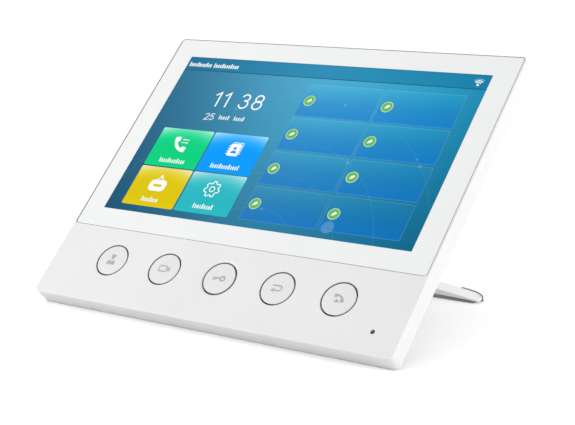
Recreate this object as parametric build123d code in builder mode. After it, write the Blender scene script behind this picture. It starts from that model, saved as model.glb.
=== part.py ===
from build123d import *
from math import atan2, cos, degrees, radians, sin
import os

# Video intercom monitor on a folding desk stand.
# Millimetres, +Z up.  The front faces -Y and leans back; X runs to the right of someone facing it.
# The origin is at the bottom centre of the whole object's box, on the table.

os.makedirs("parts", exist_ok=True)

# ---------------------------------------------------------------- driving dimensions

# Posture on the table
LEAN = 45.0               # degrees the front leans back from upright
FOOT_REACH = 102.0        # from the body's resting edge back to the stand foot's front edge

# Body shell
BODY_WIDTH = 177.0
BODY_DEPTH = 8.6
BELOW_SCREEN = 88.2       # screen centre down to the lower edge
ABOVE_SCREEN = 53.3       # screen centre up to the upper edge
BODY_CORNER = 2.6
FRONT_EDGE = 0.45         # rounding of the front's outline
BACK_EDGE = 0.9           # rounding of the shell's rear outline
SIDE_WALL = 2.0
FRONT_WALL = 2.6

# Seven inch display
SCREEN_WIDTH = 154.08
SCREEN_HEIGHT = 85.92
DISPLAY_SIDE_BORDER = 5.4
DISPLAY_TOP_BORDER = 3.6
DISPLAY_FOOT_BORDER = 7.0
WINDOW_GAP = 0.4          # round the display, in the front housing
CELL_THICK = 1.2
BACKLIGHT_THICK = 2.5
FOAM_GAP = 0.1
FOAM_WIDTH = 6.0

# Cover glass
GLASS_SIDE = 10.35        # glass beyond the screen at each side
GLASS_TOP = 9.85
GLASS_FOOT = 9.35
GLASS_THICK = 1.1
GLASS_SINK = 0.15         # the glass lies this far under the front's rim
GLASS_CORNER = 1.3
GLASS_GAP = 0.3
BOND_THICK = 0.2
TAPE_INSET = 0.5          # tape edge inside the glass edge
GLASS_EDGE = GLASS_THICK / 6
FILM_INSET = 1.0
INNER_CORNER_LESS = 1.0   # the shell's inner corner radius is this much smaller

# Five keys in a row
KEY_PITCH = 28.3
KEY_DROP = 67.8           # screen centre down to the keys' centre line
KEY_HOLE = 15.3
KEY_GAP = 0.45            # ring gap round a key
KEY_CROWN = 0.2           # how far a key's middle stands above the front
KEY_SINK = 0.1            # a key's edge under the front
KEY_EDGE = 0.4
KEY_HOLE_EDGE = 0.3
KEY_TRAVEL = 0.5
FLANGE_LEDGE = 1.2        # flange beyond the key's side
FLANGE_THICK = 0.7
FLANGE_SEAT_GAP = 0.15
COLLAR_GAP = 0.15
COLLAR_WALL = 1.05
COLLAR_MAT_GAP = 0.18     # between a guide collar's end and the key mat behind it
KEY_STEM = 5.6            # diameter of the solid stem under a key
KEY_TOP_THICK = 1.4
KEY_TAB = 1.8             # tab that stops a key from turning
TAB_REACH = 0.9
DISH_WIDTH = 1.0          # soft dished ring round the middle key
DISH_DEPTH = 0.3

# Key board and its rubber mat
KEY_BOARD_THICK = 0.8
KEY_BOARD_HEIGHT = 15.0
KEY_BOARD_HALF = 66.0
PLUNGER_WIDTH = 4.8
CONTACT_GAP = 0.1         # left between a fully pressed plunger and the board
BOARD_HEAD_GAP = 0.1      # between the key board's screw heads and the cover behind them
MAT_THICK = 0.4
MAT_MARGIN = 1.4
MAT_HOLE_GAP = 0.6
MAT_RIM = 0.8
MAT_RIM_HEIGHT = 0.5
MAT_SEAT_GAP = 0.02

# Microphone
MIC_X = 76.35
MIC_DROP = 78.65
MIC_HOLE = 2.0
MIC_WIDTH = 6.0
MIC_HEIGHT = 1.9
MIC_PORT_DEPTH = 0.475    # sound port in the microphone's front
MIC_BOOT_WALL = 0.95
MIC_GAP = 0.1
MIC_BOARD_MARGIN = 4.3

# Rear cover
COVER_WALL = 1.6
COVER_INSET = 0.2         # the cover's plate lies this far inside the shell's rear edge
COVER_GAP = 0.2
BOX_WIDTH = 124.0
BOX_TOP = 44.0            # screen centre up to the box's upper wall
BOX_FOOT = 62.0           # screen centre down to the box's lower wall
BOX_DEPTH = 22.2          # front face back to the box's rear face
BOX_WALL = 1.8
BOX_CORNER = 6.0
BOX_EDGE = 1.6
VENT_COUNT = 9
VENT_PITCH = 7.0
VENT_LENGTH = 8.0
VENT_WIDTH = 2.0

# Fasteners
SMALL_SCREW = 1.9         # shank diameter
SMALL_HEAD = 3.8
SMALL_HEAD_HEIGHT = 0.7
BRACKET_SCREW = 3.0
BRACKET_HEAD = 5.6
BRACKET_HEAD_HEIGHT = 2.0
BRACKET_HOLE_DEPTH = 6.0  # screw hole in the box, and the boss that stands round it
BRACKET_BOSS_WALL = 2.0
SCREW_CLEARANCE = 0.05    # radial
THROUGH_CLEARANCE = 0.25
BOSS_WALL = 1.0
DRIVE_WIDTH = 0.5
DRIVE_SHARE = 0.6         # length of the cross recess as a share of the head
POST_TOP_GAP = 0.4        # between the upper posts and the body's upper wall
POST_FOOT_GAP = 1.2
COVER_SCREW_TOP_X = 70.0
COVER_SCREW_FOOT_X = 58.0
SCREW_TIP_GAP = 0.5       # left in front of a cover screw's tip
KEY_SCREW_TIP_GAP = 0.4
BRACKET_SCREW_BITE = 5.4  # length of a bracket screw in the box
BOARD_SCREW_BITE = 6.0
BOARD_HEAD_HEIGHT = 1.2

# Main board
BOARD_WIDTH = 112.0
BOARD_TOP = 40.0
BOARD_FOOT = 18.0
BOARD_THICK = 1.6
BOARD_FRONT = 7.4         # depth of the board's display side
STANDOFF_X = 50.0
STANDOFF_TOP = 35.0
STANDOFF_FOOT = 13.0
STANDOFF_WIDTH = 6.5
SHIELD_SIZE = (34.0, 28.0, 3.2)
SHIELD_PLACE = (8.0, 11.0)
SHIELD_SKIN = 0.4
CHIPS = [(0, 12, 14), (16, 14, 11), (12, 2, 8)]   # across, up and width of each chip under the shield
CHIP_SHAPE = 0.8          # a chip's height as a share of its width
CHIP_THICK = 1.2
RADIO_PLACE = (40.0, 20.0)
RADIO_SIZE = (12.0, 16.0, 2.2)
ANTENNA_SIZE = (38.0, 3.4, 0.4)
ANTENNA_X = 35.0
CHOKE_PLACES = [(-32.0, 8.0), (-32.0, -6.0)]
CHOKE_WIDTH = 9.0
CHOKE_HEIGHT = 5.0

# Ribbon cables and their connectors on the board's display side
RIBBON_THICK = 0.3
RIBBON_BEND = 6.0
RIBBON_LAP = 2.0          # how far a display ribbon reaches under the tray's edge
CONNECTOR_DEPTH = 1.0
CONNECTOR_LENGTH = 4.0
CONNECTOR_ENDS = 2.0      # a connector is this much longer than its ribbon is wide
CONNECTOR_UP = -8.0
RIBBONS = {"display_ribbon": (12.0, 30.0), "touch_ribbon": (-28.0, 10.0)}   # middle and width of each
KEY_RIBBON_X = 38.0
KEY_RIBBON_WIDTH = 12.0
KEY_RIBBON_LAP = 3.0      # how far the key ribbon reaches up from the keys' centre line

# Speaker
SPEAKER_DROP = 41.0
SPEAKER_WIDTH = 36.0
SPEAKER_RIM = 1.2
BASKET_DEPTH = 6.0
MAGNET_WIDTH = 20.0
MAGNET_DEPTH = 4.2
SPEAKER_GAP = 0.3
GASKET_THICK = 0.8
GRILLE_HOLE = 2.2
GRILLE_STEP = 4.4
GRILLE_RINGS = 3
HOLES_PER_RING = 6        # six in the first ring, twelve in the second and so on
GASKET_WIDTH = 2.0
BASKET_WALL = 0.8
CONE_THICK = 0.4
CONE_EDGE = 3.0           # cone edge inside the gasket's outer edge

# Network socket and wire terminals, both on the box's left wall
SOCKET_SIZE = (18.0, 16.0, 11.0)      # along X, up the panel, through the depth
SOCKET_UP = 20.0
PLUG_SIZE = (11.7, 8.3)
PLUG_DEPTH = 13.5
PORT_GAP = 0.3
PORT_SINK = 0.4
PIN_COUNT = 8
PIN_PITCH = 1.02
CONTACT_WIDTH = 0.45
CONTACT_LENGTH = 7.0
TERMINAL_COUNT = 5
TERMINAL_PITCH = 3.5
TERMINAL_SIZE = (10.0, 8.6)           # along X, through the depth
TERMINAL_UP = 0.5
WIRE_HOLE = 2.4
WIRE_HOLE_TALL = 3.0
WIRE_HOLE_DEPTH = 7.0

# Wall fixing: four threaded inserts on a circle
WALL_CIRCLE = 100.0
WALL_CENTRE_DROP = 9.0
INSERT_BORE = 4.0
INSERT_WALL = 0.9
INSERT_LENGTH = 6.0
INSERT_BOSS_WALL = 1.6

# Stand bracket, screwed to the box
BRACKET_WIDTH = 50.0
BRACKET_HEIGHT = 36.0
BRACKET_UP = 23.0
BRACKET_THICK = 2.4
BRACKET_SCREW_X = 19.5
BRACKET_SCREW_UP = 13.2   # from the bracket's centre
EAR_THICK = 5.0
EAR_RADIUS = 5.6
PIN_UP = 20.0
PIN_WIDTH = 4.0
PIN_HEAD_WIDTH = 6.4
PIN_HEAD_THICK = 1.2
PIN_FIT = 0.02
HINGE_FIT = 0.06
BARREL_RADIUS = 4.5
BARREL_HALF = 14.9
BARREL_SIDE_GAP = 0.3
BARREL_FACE_GAP = 0.5

# Stand leg
BLADE_THICK = 4.0
BLADE_FOOT_WIDTH = 58.0
EAR_CLEARANCE = 1.5       # the blade starts to widen this far below the bracket's ears
BLADE_AIM = 4.6           # where the blade meets the foot, behind the foot's front edge
HEEL_LENGTH = 8.0
HEEL_THICK = 3.0
HEEL_HALF = 10.0
HEEL_GAP = 0.1
FOOT_HALF = 64.7
FOOT_DEPTH = 10.4
FOOT_RIDGE = 7.9          # height of the foot's middle above the table
FOOT_RIDGE_HALF = 12.0
FOOT_TIP = 1.4            # height of the wing tips above the table
FOOT_BACK_CORNER = 9.0
FOOT_FRONT_CORNER = 1.0
SOLE_THICK = 1.0
SOLE_INSET = 2.4
SOLE_FLARE = 1.0
LIP_THICK = 0.5
LIP_RISE = 0.3
LIP_START = 51.0
PANEL_RECESS = 0.8        # depth of the shallow panel pressed into the blade
PANEL_BORDER = 6.0

# ---------------------------------------------------------------- values worked out from them

BODY_HEIGHT = BELOW_SCREEN + ABOVE_SCREEN
BODY_MID = (ABOVE_SCREEN - BELOW_SCREEN) / 2

UP = Vector(0, sin(radians(LEAN)), cos(radians(LEAN)))
OUT = Vector(0, -cos(radians(LEAN)), sin(radians(LEAN)))
ACROSS = Vector(1, 0, 0)

# The body rests on its rounded lower rear edge.
REST_UP = BACK_EDGE - BELOW_SCREEN
REST_DEPTH = BODY_DEPTH - BACK_EDGE
SCREEN_Z = BACK_EDGE - REST_UP * UP.Z + REST_DEPTH * OUT.Z

# Front and rear limits of the object, measured along Y from the screen centre
FRONT_LIMIT = (FRONT_EDGE - BELOW_SCREEN) * UP.Y - FRONT_EDGE * OUT.Y - FRONT_EDGE
RESTING_EDGE = -BELOW_SCREEN * UP.Y - BODY_DEPTH * OUT.Y
REAR_LIMIT = RESTING_EDGE + FOOT_REACH + FOOT_DEPTH + LIP_THICK
SCREEN_Y = -(FRONT_LIMIT + REAR_LIMIT) / 2
SCREEN_CENTRE = Vector(0, SCREEN_Y, SCREEN_Z)
FOOT_FRONT = SCREEN_Y + RESTING_EDGE + FOOT_REACH
FOOT_BACK = FOOT_FRONT + FOOT_DEPTH

GLASS_WIDTH = SCREEN_WIDTH + 2 * GLASS_SIDE
GLASS_HEIGHT = SCREEN_HEIGHT + GLASS_TOP + GLASS_FOOT
GLASS_MID = (GLASS_TOP - GLASS_FOOT) / 2
GLASS_BACK = GLASS_SINK + GLASS_THICK
LEDGE_DEPTH = GLASS_BACK + BOND_THICK

DISPLAY_WIDTH = SCREEN_WIDTH + 2 * DISPLAY_SIDE_BORDER
DISPLAY_HEIGHT = SCREEN_HEIGHT + DISPLAY_TOP_BORDER + DISPLAY_FOOT_BORDER
DISPLAY_MID = (DISPLAY_TOP_BORDER - DISPLAY_FOOT_BORDER) / 2
CELL_BACK = LEDGE_DEPTH + CELL_THICK
BACKLIGHT_BACK = CELL_BACK + BACKLIGHT_THICK

KEY_NAMES = ["guard", "camera", "unlock", "return", "talk"]
KEY_PLACES = [((i - 2) * KEY_PITCH, -KEY_DROP) for i in range(len(KEY_NAMES))]
MIDDLE_KEY = KEY_PLACES[2]
KEY_RADIUS = KEY_HOLE / 2 - KEY_GAP
FLANGE_RADIUS = KEY_RADIUS + FLANGE_LEDGE
FLANGE_TOP = FRONT_WALL + FLANGE_SEAT_GAP
FLANGE_BACK = FLANGE_TOP + FLANGE_THICK
COLLAR_BORE = FLANGE_RADIUS + COLLAR_GAP
COVER_BACK = BODY_DEPTH - COVER_INSET
COVER_FRONT = COVER_BACK - COVER_WALL
# The key board lies as far back as the cover and its own screw heads allow; the plungers fill the rest.
KEY_BOARD_BACK = COVER_FRONT - BOARD_HEAD_GAP - SMALL_HEAD_HEIGHT
KEY_BOARD_FRONT = KEY_BOARD_BACK - KEY_BOARD_THICK
PLUNGER_LENGTH = KEY_BOARD_FRONT - KEY_TRAVEL - CONTACT_GAP - FLANGE_BACK
MAT_FRONT = KEY_BOARD_FRONT - MAT_SEAT_GAP - MAT_THICK
COLLAR_BACK = MAT_FRONT - COLLAR_MAT_GAP
KEY_POSTS = [((i - 1.5) * KEY_PITCH, -KEY_DROP) for i in range(4)]
MIC_PLACE = (MIC_X, -MIC_DROP)
MIC_BOOT_RADIUS = MIC_WIDTH / 2 + MIC_GAP + MIC_BOOT_WALL

BOX_MID = (BOX_TOP - BOX_FOOT) / 2
BOX_HEIGHT = BOX_TOP + BOX_FOOT
BOX_LINING = BOX_DEPTH - BOX_WALL
BOX_LEFT = -BOX_WIDTH / 2

BOARD_BACK = BOARD_FRONT + BOARD_THICK
BOARD_MID = (BOARD_TOP - BOARD_FOOT) / 2
STANDOFFS = [(x, y) for x in (-STANDOFF_X, STANDOFF_X) for y in (STANDOFF_TOP, -STANDOFF_FOOT)]

SMALL_BOSS = SMALL_SCREW / 2 + SCREW_CLEARANCE + BOSS_WALL
COVER_SCREW_TOP = ABOVE_SCREEN - SIDE_WALL - SMALL_BOSS - POST_TOP_GAP
COVER_SCREW_FOOT = -BELOW_SCREEN + SIDE_WALL + SMALL_BOSS + POST_FOOT_GAP
COVER_SCREWS = [(side * COVER_SCREW_TOP_X, COVER_SCREW_TOP) for side in (-1, 0, 1)]
COVER_SCREWS += [(side * COVER_SCREW_FOOT_X, COVER_SCREW_FOOT) for side in (-1, 0, 1)]

SPEAKER_PLACE = (0, -SPEAKER_DROP)
GASKET_FRONT = BOX_LINING - GASKET_THICK
BASKET_FRONT = GASKET_FRONT - BASKET_DEPTH

PORT_FACE = BOX_LEFT + PORT_SINK
SOCKET_MID_DEPTH = BOARD_BACK + SOCKET_SIZE[2] / 2
TERMINAL_HEIGHT = TERMINAL_COUNT * TERMINAL_PITCH
TERMINAL_MID_DEPTH = BOARD_BACK + TERMINAL_SIZE[1] / 2

WALL_PLACES = [(WALL_CIRCLE / 2 * cos(radians(a)), -WALL_CENTRE_DROP + WALL_CIRCLE / 2 * sin(radians(a)))
               for a in (45, 135, 225, 315)]
INSERT_RADIUS = INSERT_BORE / 2 + INSERT_WALL
INSERT_BOSS = INSERT_RADIUS + INSERT_BOSS_WALL

BRACKET_FACE = BOX_DEPTH + BRACKET_THICK
PIN_DEPTH = BRACKET_FACE + BARREL_FACE_GAP + BARREL_RADIUS
EAR_START = BARREL_HALF + BARREL_SIDE_GAP
EAR_END = EAR_START + EAR_THICK
BRACKET_SCREWS = [(x, BRACKET_UP + y) for x in (-BRACKET_SCREW_X, BRACKET_SCREW_X)
                  for y in (-BRACKET_SCREW_UP, BRACKET_SCREW_UP)]


def spot(x, up, depth):
    """The point x across, up the panel from the screen centre, and depth behind the front face."""
    return SCREEN_CENTRE + ACROSS * x + UP * up - OUT * depth


def front_plane(depth=0.0):
    """A plane parallel to the front face: local X across, local Y up the panel, normal out of the front."""
    return Plane(origin=spot(0, 0, depth), x_dir=ACROSS, z_dir=OUT)


def side_plane(x):
    """A plane across the body: local X up the panel, local Y out of the front, normal +X."""
    return Plane(origin=spot(x, 0, 0), x_dir=UP, z_dir=ACROSS)


def shelf_plane(up):
    """A plane square to the panel: local X across, local Y backwards, normal up the panel."""
    return Plane(origin=spot(0, up, 0), x_dir=ACROSS, z_dir=UP)


def turning_plane(place):
    """A plane through a round piece's axis: local X is the radius, local Y is out of the front."""
    return Plane(origin=spot(place[0], place[1], 0), x_dir=ACROSS, z_dir=UP * -1)


def out_axis(place=(0, 0)):
    return Axis(spot(place[0], place[1], 0), OUT)


def slab(thick, mode=Mode.ADD):
    """Extrude the sketch just drawn on a front_plane backwards by thick."""
    return extrude(amount=-thick, mode=mode)


PIN_CENTRE = spot(0, PIN_UP, PIN_DEPTH)
BLADE_FOOT_HEIGHT = SOLE_THICK + BLADE_THICK / 2
LEG_TILT = atan2(FOOT_FRONT + BLADE_AIM - PIN_CENTRE.Y, PIN_CENTRE.Z - BLADE_FOOT_HEIGHT)
LEG_LENGTH = (PIN_CENTRE.Z - BLADE_FOOT_HEIGHT) / cos(LEG_TILT)
LEG_PLANE = Plane(origin=PIN_CENTRE, x_dir=ACROSS, z_dir=(0, -cos(LEG_TILT), -sin(LEG_TILT)))
FOLD_ANGLE = LEAN + degrees(LEG_TILT)


# ---------------------------------------------------------------- front housing

def holes_of(piece, radius):
    """Round edges of this radius on the piece's foremost plane."""
    return piece.edges().filter_by(GeomType.CIRCLE).group_by(out_axis())[-1].filter_by(
        lambda edge: abs(edge.radius - radius) < 0.001)


with BuildPart() as front_housing:
    with BuildSketch(front_plane()):
        with Locations((0, BODY_MID)):
            RectangleRounded(BODY_WIDTH, BODY_HEIGHT, BODY_CORNER)
    slab(BODY_DEPTH)
    fillet(front_housing.faces().sort_by(out_axis())[-1].edges(), FRONT_EDGE)
    fillet(front_housing.faces().sort_by(out_axis())[0].edges(), BACK_EDGE)
    # The inside, behind the front wall
    with BuildSketch(front_plane(FRONT_WALL)):
        with Locations((0, BODY_MID)):
            RectangleRounded(
                BODY_WIDTH - 2 * SIDE_WALL,
                BODY_HEIGHT - 2 * SIDE_WALL,
                BODY_CORNER - INNER_CORNER_LESS)
    slab(BODY_DEPTH, Mode.SUBTRACT)
    # The seat of the glass, and the window that the display sits in
    with BuildSketch(front_plane()):
        with Locations((0, GLASS_MID)):
            RectangleRounded(
                GLASS_WIDTH + 2 * GLASS_GAP,
                GLASS_HEIGHT + 2 * GLASS_GAP,
                GLASS_CORNER + GLASS_GAP)
    slab(LEDGE_DEPTH, Mode.SUBTRACT)
    with BuildSketch(front_plane(LEDGE_DEPTH)):
        with Locations((0, DISPLAY_MID)):
            Rectangle(DISPLAY_WIDTH + 2 * WINDOW_GAP, DISPLAY_HEIGHT + 2 * WINDOW_GAP)
    slab(FRONT_WALL, Mode.SUBTRACT)
    # Key holes, and the soft dished ring round the middle one
    with BuildSketch(front_plane()):
        with Locations(*KEY_PLACES):
            Circle(KEY_HOLE / 2)
    slab(FRONT_WALL, Mode.SUBTRACT)
    with BuildSketch(front_plane()):
        with Locations(MIDDLE_KEY):
            Circle(KEY_HOLE / 2 + DISH_WIDTH)
    with BuildSketch(front_plane(DISH_DEPTH)):
        with Locations(MIDDLE_KEY):
            Circle(KEY_HOLE / 2)
    loft(mode=Mode.SUBTRACT)
    fillet(holes_of(front_housing, KEY_HOLE / 2), KEY_HOLE_EDGE)
    # Guide collars behind the keys, slotted at the top for each key's tab
    with BuildSketch(front_plane(FRONT_WALL)):
        with Locations(*KEY_PLACES):
            Circle(COLLAR_BORE + COLLAR_WALL)
            Circle(COLLAR_BORE, mode=Mode.SUBTRACT)
        with Locations(*[(x, y + COLLAR_BORE) for x, y in KEY_PLACES]):
            Rectangle(KEY_TAB + 2 * COLLAR_GAP, 3 * COLLAR_WALL, mode=Mode.SUBTRACT)
    slab(COLLAR_BACK - FRONT_WALL)
    # Posts for the key board
    with BuildSketch(front_plane(FRONT_WALL)):
        with Locations(*KEY_POSTS):
            Circle(SMALL_BOSS)
            Circle(SMALL_SCREW / 2 + SCREW_CLEARANCE, mode=Mode.SUBTRACT)
    slab(KEY_BOARD_FRONT - FRONT_WALL)
    # Posts for the rear cover's screws
    with BuildSketch(front_plane(FRONT_WALL)):
        with Locations(*COVER_SCREWS):
            Circle(SMALL_BOSS)
            Circle(SMALL_SCREW / 2 + SCREW_CLEARANCE, mode=Mode.SUBTRACT)
    slab(COVER_FRONT - FRONT_WALL)
    # Microphone hole, and the ring that holds the microphone's rubber boot
    with BuildSketch(front_plane()):
        with Locations(MIC_PLACE):
            Circle(MIC_HOLE / 2)
    slab(FRONT_WALL, Mode.SUBTRACT)
    with BuildSketch(front_plane(FRONT_WALL)):
        with Locations(MIC_PLACE):
            Circle(MIC_BOOT_RADIUS + MIC_GAP + BOSS_WALL)
            Circle(MIC_BOOT_RADIUS + MIC_GAP, mode=Mode.SUBTRACT)
    slab(MIC_HEIGHT)
front_housing.part.label = "front_housing"
export_step(front_housing.part, "parts/front_housing.step")

# ---------------------------------------------------------------- cover glass and display

with BuildPart() as cover_glass:
    with BuildSketch(front_plane(GLASS_SINK)):
        with Locations((0, GLASS_MID)):
            RectangleRounded(GLASS_WIDTH, GLASS_HEIGHT, GLASS_CORNER)
    slab(GLASS_THICK)
    fillet(cover_glass.faces().sort_by(out_axis())[-1].edges(), GLASS_EDGE)
cover_glass.part.label = "cover_glass"
export_step(cover_glass.part, "parts/cover_glass.step")

with BuildPart() as glass_tape:
    with BuildSketch(front_plane(GLASS_BACK)):
        with Locations((0, GLASS_MID)):
            RectangleRounded(GLASS_WIDTH - 2 * TAPE_INSET, GLASS_HEIGHT - 2 * TAPE_INSET, GLASS_CORNER)
        with Locations((0, DISPLAY_MID)):
            Rectangle(DISPLAY_WIDTH + 2 * WINDOW_GAP, DISPLAY_HEIGHT + 2 * WINDOW_GAP, mode=Mode.SUBTRACT)
    slab(BOND_THICK)
glass_tape.part.label = "glass_tape"
export_step(glass_tape.part, "parts/glass_tape.step")


def display_layer(name, front, thick, inset=0.0):
    """One full-size layer of the display stack, thick mm from its front depth."""
    with BuildPart() as layer:
        with BuildSketch(front_plane(front)):
            with Locations((0, DISPLAY_MID)):
                Rectangle(DISPLAY_WIDTH - 2 * inset, DISPLAY_HEIGHT - 2 * inset)
        slab(thick)
    layer.part.label = name
    export_step(layer.part, f"parts/{name}.step")


display_layer("bonding_film", GLASS_BACK, BOND_THICK, inset=FILM_INSET)
display_layer("display_cell", LEDGE_DEPTH, CELL_THICK)
display_layer("backlight_tray", CELL_BACK, BACKLIGHT_THICK)

FOAM_BACK = COVER_FRONT - FOAM_GAP
FOAM_X = DISPLAY_WIDTH / 2 - FOAM_WIDTH
with BuildPart() as display_foam:
    with BuildSketch(front_plane(BACKLIGHT_BACK + FOAM_GAP)):
        with Locations((-FOAM_X, DISPLAY_MID), (FOAM_X, DISPLAY_MID)):
            Rectangle(FOAM_WIDTH, DISPLAY_HEIGHT - 4 * FOAM_WIDTH)
    slab(FOAM_BACK - BACKLIGHT_BACK - FOAM_GAP)
display_foam.part.label = "display_foam"
export_step(display_foam.part, "parts/display_foam.step")

# ---------------------------------------------------------------- keys

# Radius of a key's domed face, from its height and its half width
CROWN_HEIGHT = KEY_CROWN + KEY_SINK
CROWN_RADIUS = ((KEY_RADIUS - KEY_EDGE) ** 2 + CROWN_HEIGHT ** 2) / (2 * CROWN_HEIGHT)

for key_name, key_place in zip(KEY_NAMES, KEY_PLACES):
    with BuildPart() as key_cap:
        with BuildSketch(turning_plane(key_place)):
            with BuildLine():
                crown = RadiusArc((0, KEY_CROWN), (KEY_RADIUS - KEY_EDGE, -KEY_SINK), CROWN_RADIUS)
                shoulder = RadiusArc(crown @ 1, (KEY_RADIUS, -KEY_SINK - KEY_EDGE), KEY_EDGE)
                Polyline(
                    shoulder @ 1,
                    (KEY_RADIUS, -FLANGE_TOP),
                    (FLANGE_RADIUS, -FLANGE_TOP),
                    (FLANGE_RADIUS, -FLANGE_BACK),
                    (KEY_RADIUS - KEY_TOP_THICK, -FLANGE_BACK),
                    (KEY_RADIUS - KEY_TOP_THICK, -KEY_TOP_THICK),
                    (KEY_STEM / 2, -KEY_TOP_THICK),
                    (KEY_STEM / 2, -FLANGE_BACK),
                    (0, -FLANGE_BACK),
                    crown @ 0)
            make_face()
        revolve(axis=out_axis(key_place))
        with BuildSketch(front_plane(FLANGE_TOP)):
            with Locations((key_place[0], key_place[1] + FLANGE_RADIUS)):
                Rectangle(KEY_TAB, 2 * TAB_REACH)
        slab(FLANGE_THICK)
    key_cap.part.label = f"{key_name}_key"
    export_step(key_cap.part, f"parts/{key_name}_key.step")

    with BuildPart() as plunger:
        with BuildSketch(front_plane(FLANGE_BACK)):
            with Locations(key_place):
                Circle(PLUNGER_WIDTH / 2)
        slab(PLUNGER_LENGTH)
    plunger.part.label = f"{key_name}_plunger"
    export_step(plunger.part, f"parts/{key_name}_plunger.step")

with BuildPart() as key_mat:
    with BuildSketch(front_plane(MAT_FRONT)):
        with Locations((0, -KEY_DROP)):
            Rectangle(2 * (KEY_BOARD_HALF - MAT_MARGIN), KEY_BOARD_HEIGHT - 2 * MAT_MARGIN)
        with Locations(*KEY_PLACES):
            Circle(PLUNGER_WIDTH / 2 + MAT_HOLE_GAP, mode=Mode.SUBTRACT)
        with Locations(*KEY_POSTS):
            Circle(SMALL_BOSS + MAT_HOLE_GAP, mode=Mode.SUBTRACT)
    slab(MAT_THICK)
    with BuildSketch(front_plane(MAT_FRONT - MAT_RIM_HEIGHT)):
        with Locations(*KEY_PLACES):
            Circle(PLUNGER_WIDTH / 2 + MAT_HOLE_GAP + MAT_RIM)
            Circle(PLUNGER_WIDTH / 2 + MAT_HOLE_GAP, mode=Mode.SUBTRACT)
    slab(MAT_RIM_HEIGHT)
key_mat.part.label = "key_mat"
export_step(key_mat.part, "parts/key_mat.step")

with BuildPart() as key_board:
    with BuildSketch(front_plane(KEY_BOARD_FRONT)):
        with Locations((0, -KEY_DROP)):
            Rectangle(2 * KEY_BOARD_HALF, KEY_BOARD_HEIGHT)
        # An arm at the right carries the microphone
        with Locations(((KEY_BOARD_HALF + MIC_X) / 2, -KEY_DROP)):
            Rectangle(MIC_X - KEY_BOARD_HALF + 2 * MIC_BOARD_MARGIN, KEY_BOARD_HEIGHT)
        with Locations(MIC_PLACE):
            Circle(MIC_BOARD_MARGIN)
        with Locations(*KEY_POSTS):
            Circle(SMALL_SCREW / 2 + THROUGH_CLEARANCE, mode=Mode.SUBTRACT)
    slab(KEY_BOARD_THICK)
key_board.part.label = "key_board"
export_step(key_board.part, "parts/key_board.step")

with BuildPart() as key_contacts:
    with BuildSketch(front_plane(KEY_BOARD_FRONT - MAT_SEAT_GAP)):
        with Locations(*KEY_PLACES):
            Circle(PLUNGER_WIDTH / 2)
    slab(MAT_SEAT_GAP)
key_contacts.part.label = "key_contacts"
export_step(key_contacts.part, "parts/key_contacts.step")

# ---------------------------------------------------------------- microphone

with BuildPart() as microphone:
    with BuildSketch(front_plane(KEY_BOARD_FRONT - MIC_HEIGHT)):
        with Locations(MIC_PLACE):
            Circle(MIC_WIDTH / 2)
    slab(MIC_HEIGHT)
    with BuildSketch(front_plane(KEY_BOARD_FRONT - MIC_HEIGHT)):
        with Locations(MIC_PLACE):
            Circle(MIC_HOLE / 2)
    slab(MIC_PORT_DEPTH, Mode.SUBTRACT)
microphone.part.label = "microphone"
export_step(microphone.part, "parts/microphone.step")

with BuildPart() as microphone_boot:
    with BuildSketch(front_plane(FRONT_WALL)):
        with Locations(MIC_PLACE):
            Circle(MIC_BOOT_RADIUS)
    slab(KEY_BOARD_FRONT - FRONT_WALL - MIC_GAP)
    with BuildSketch(front_plane(KEY_BOARD_FRONT - MIC_HEIGHT)):
        with Locations(MIC_PLACE):
            Circle(MIC_WIDTH / 2 + MIC_GAP / 2)
    slab(MIC_HEIGHT, Mode.SUBTRACT)
    with BuildSketch(front_plane(FRONT_WALL)):
        with Locations(MIC_PLACE):
            Circle(MIC_HOLE / 2)
    slab(MIC_HEIGHT, Mode.SUBTRACT)
microphone_boot.part.label = "microphone_boot"
export_step(microphone_boot.part, "parts/microphone_boot.step")

# ---------------------------------------------------------------- rear cover

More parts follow.
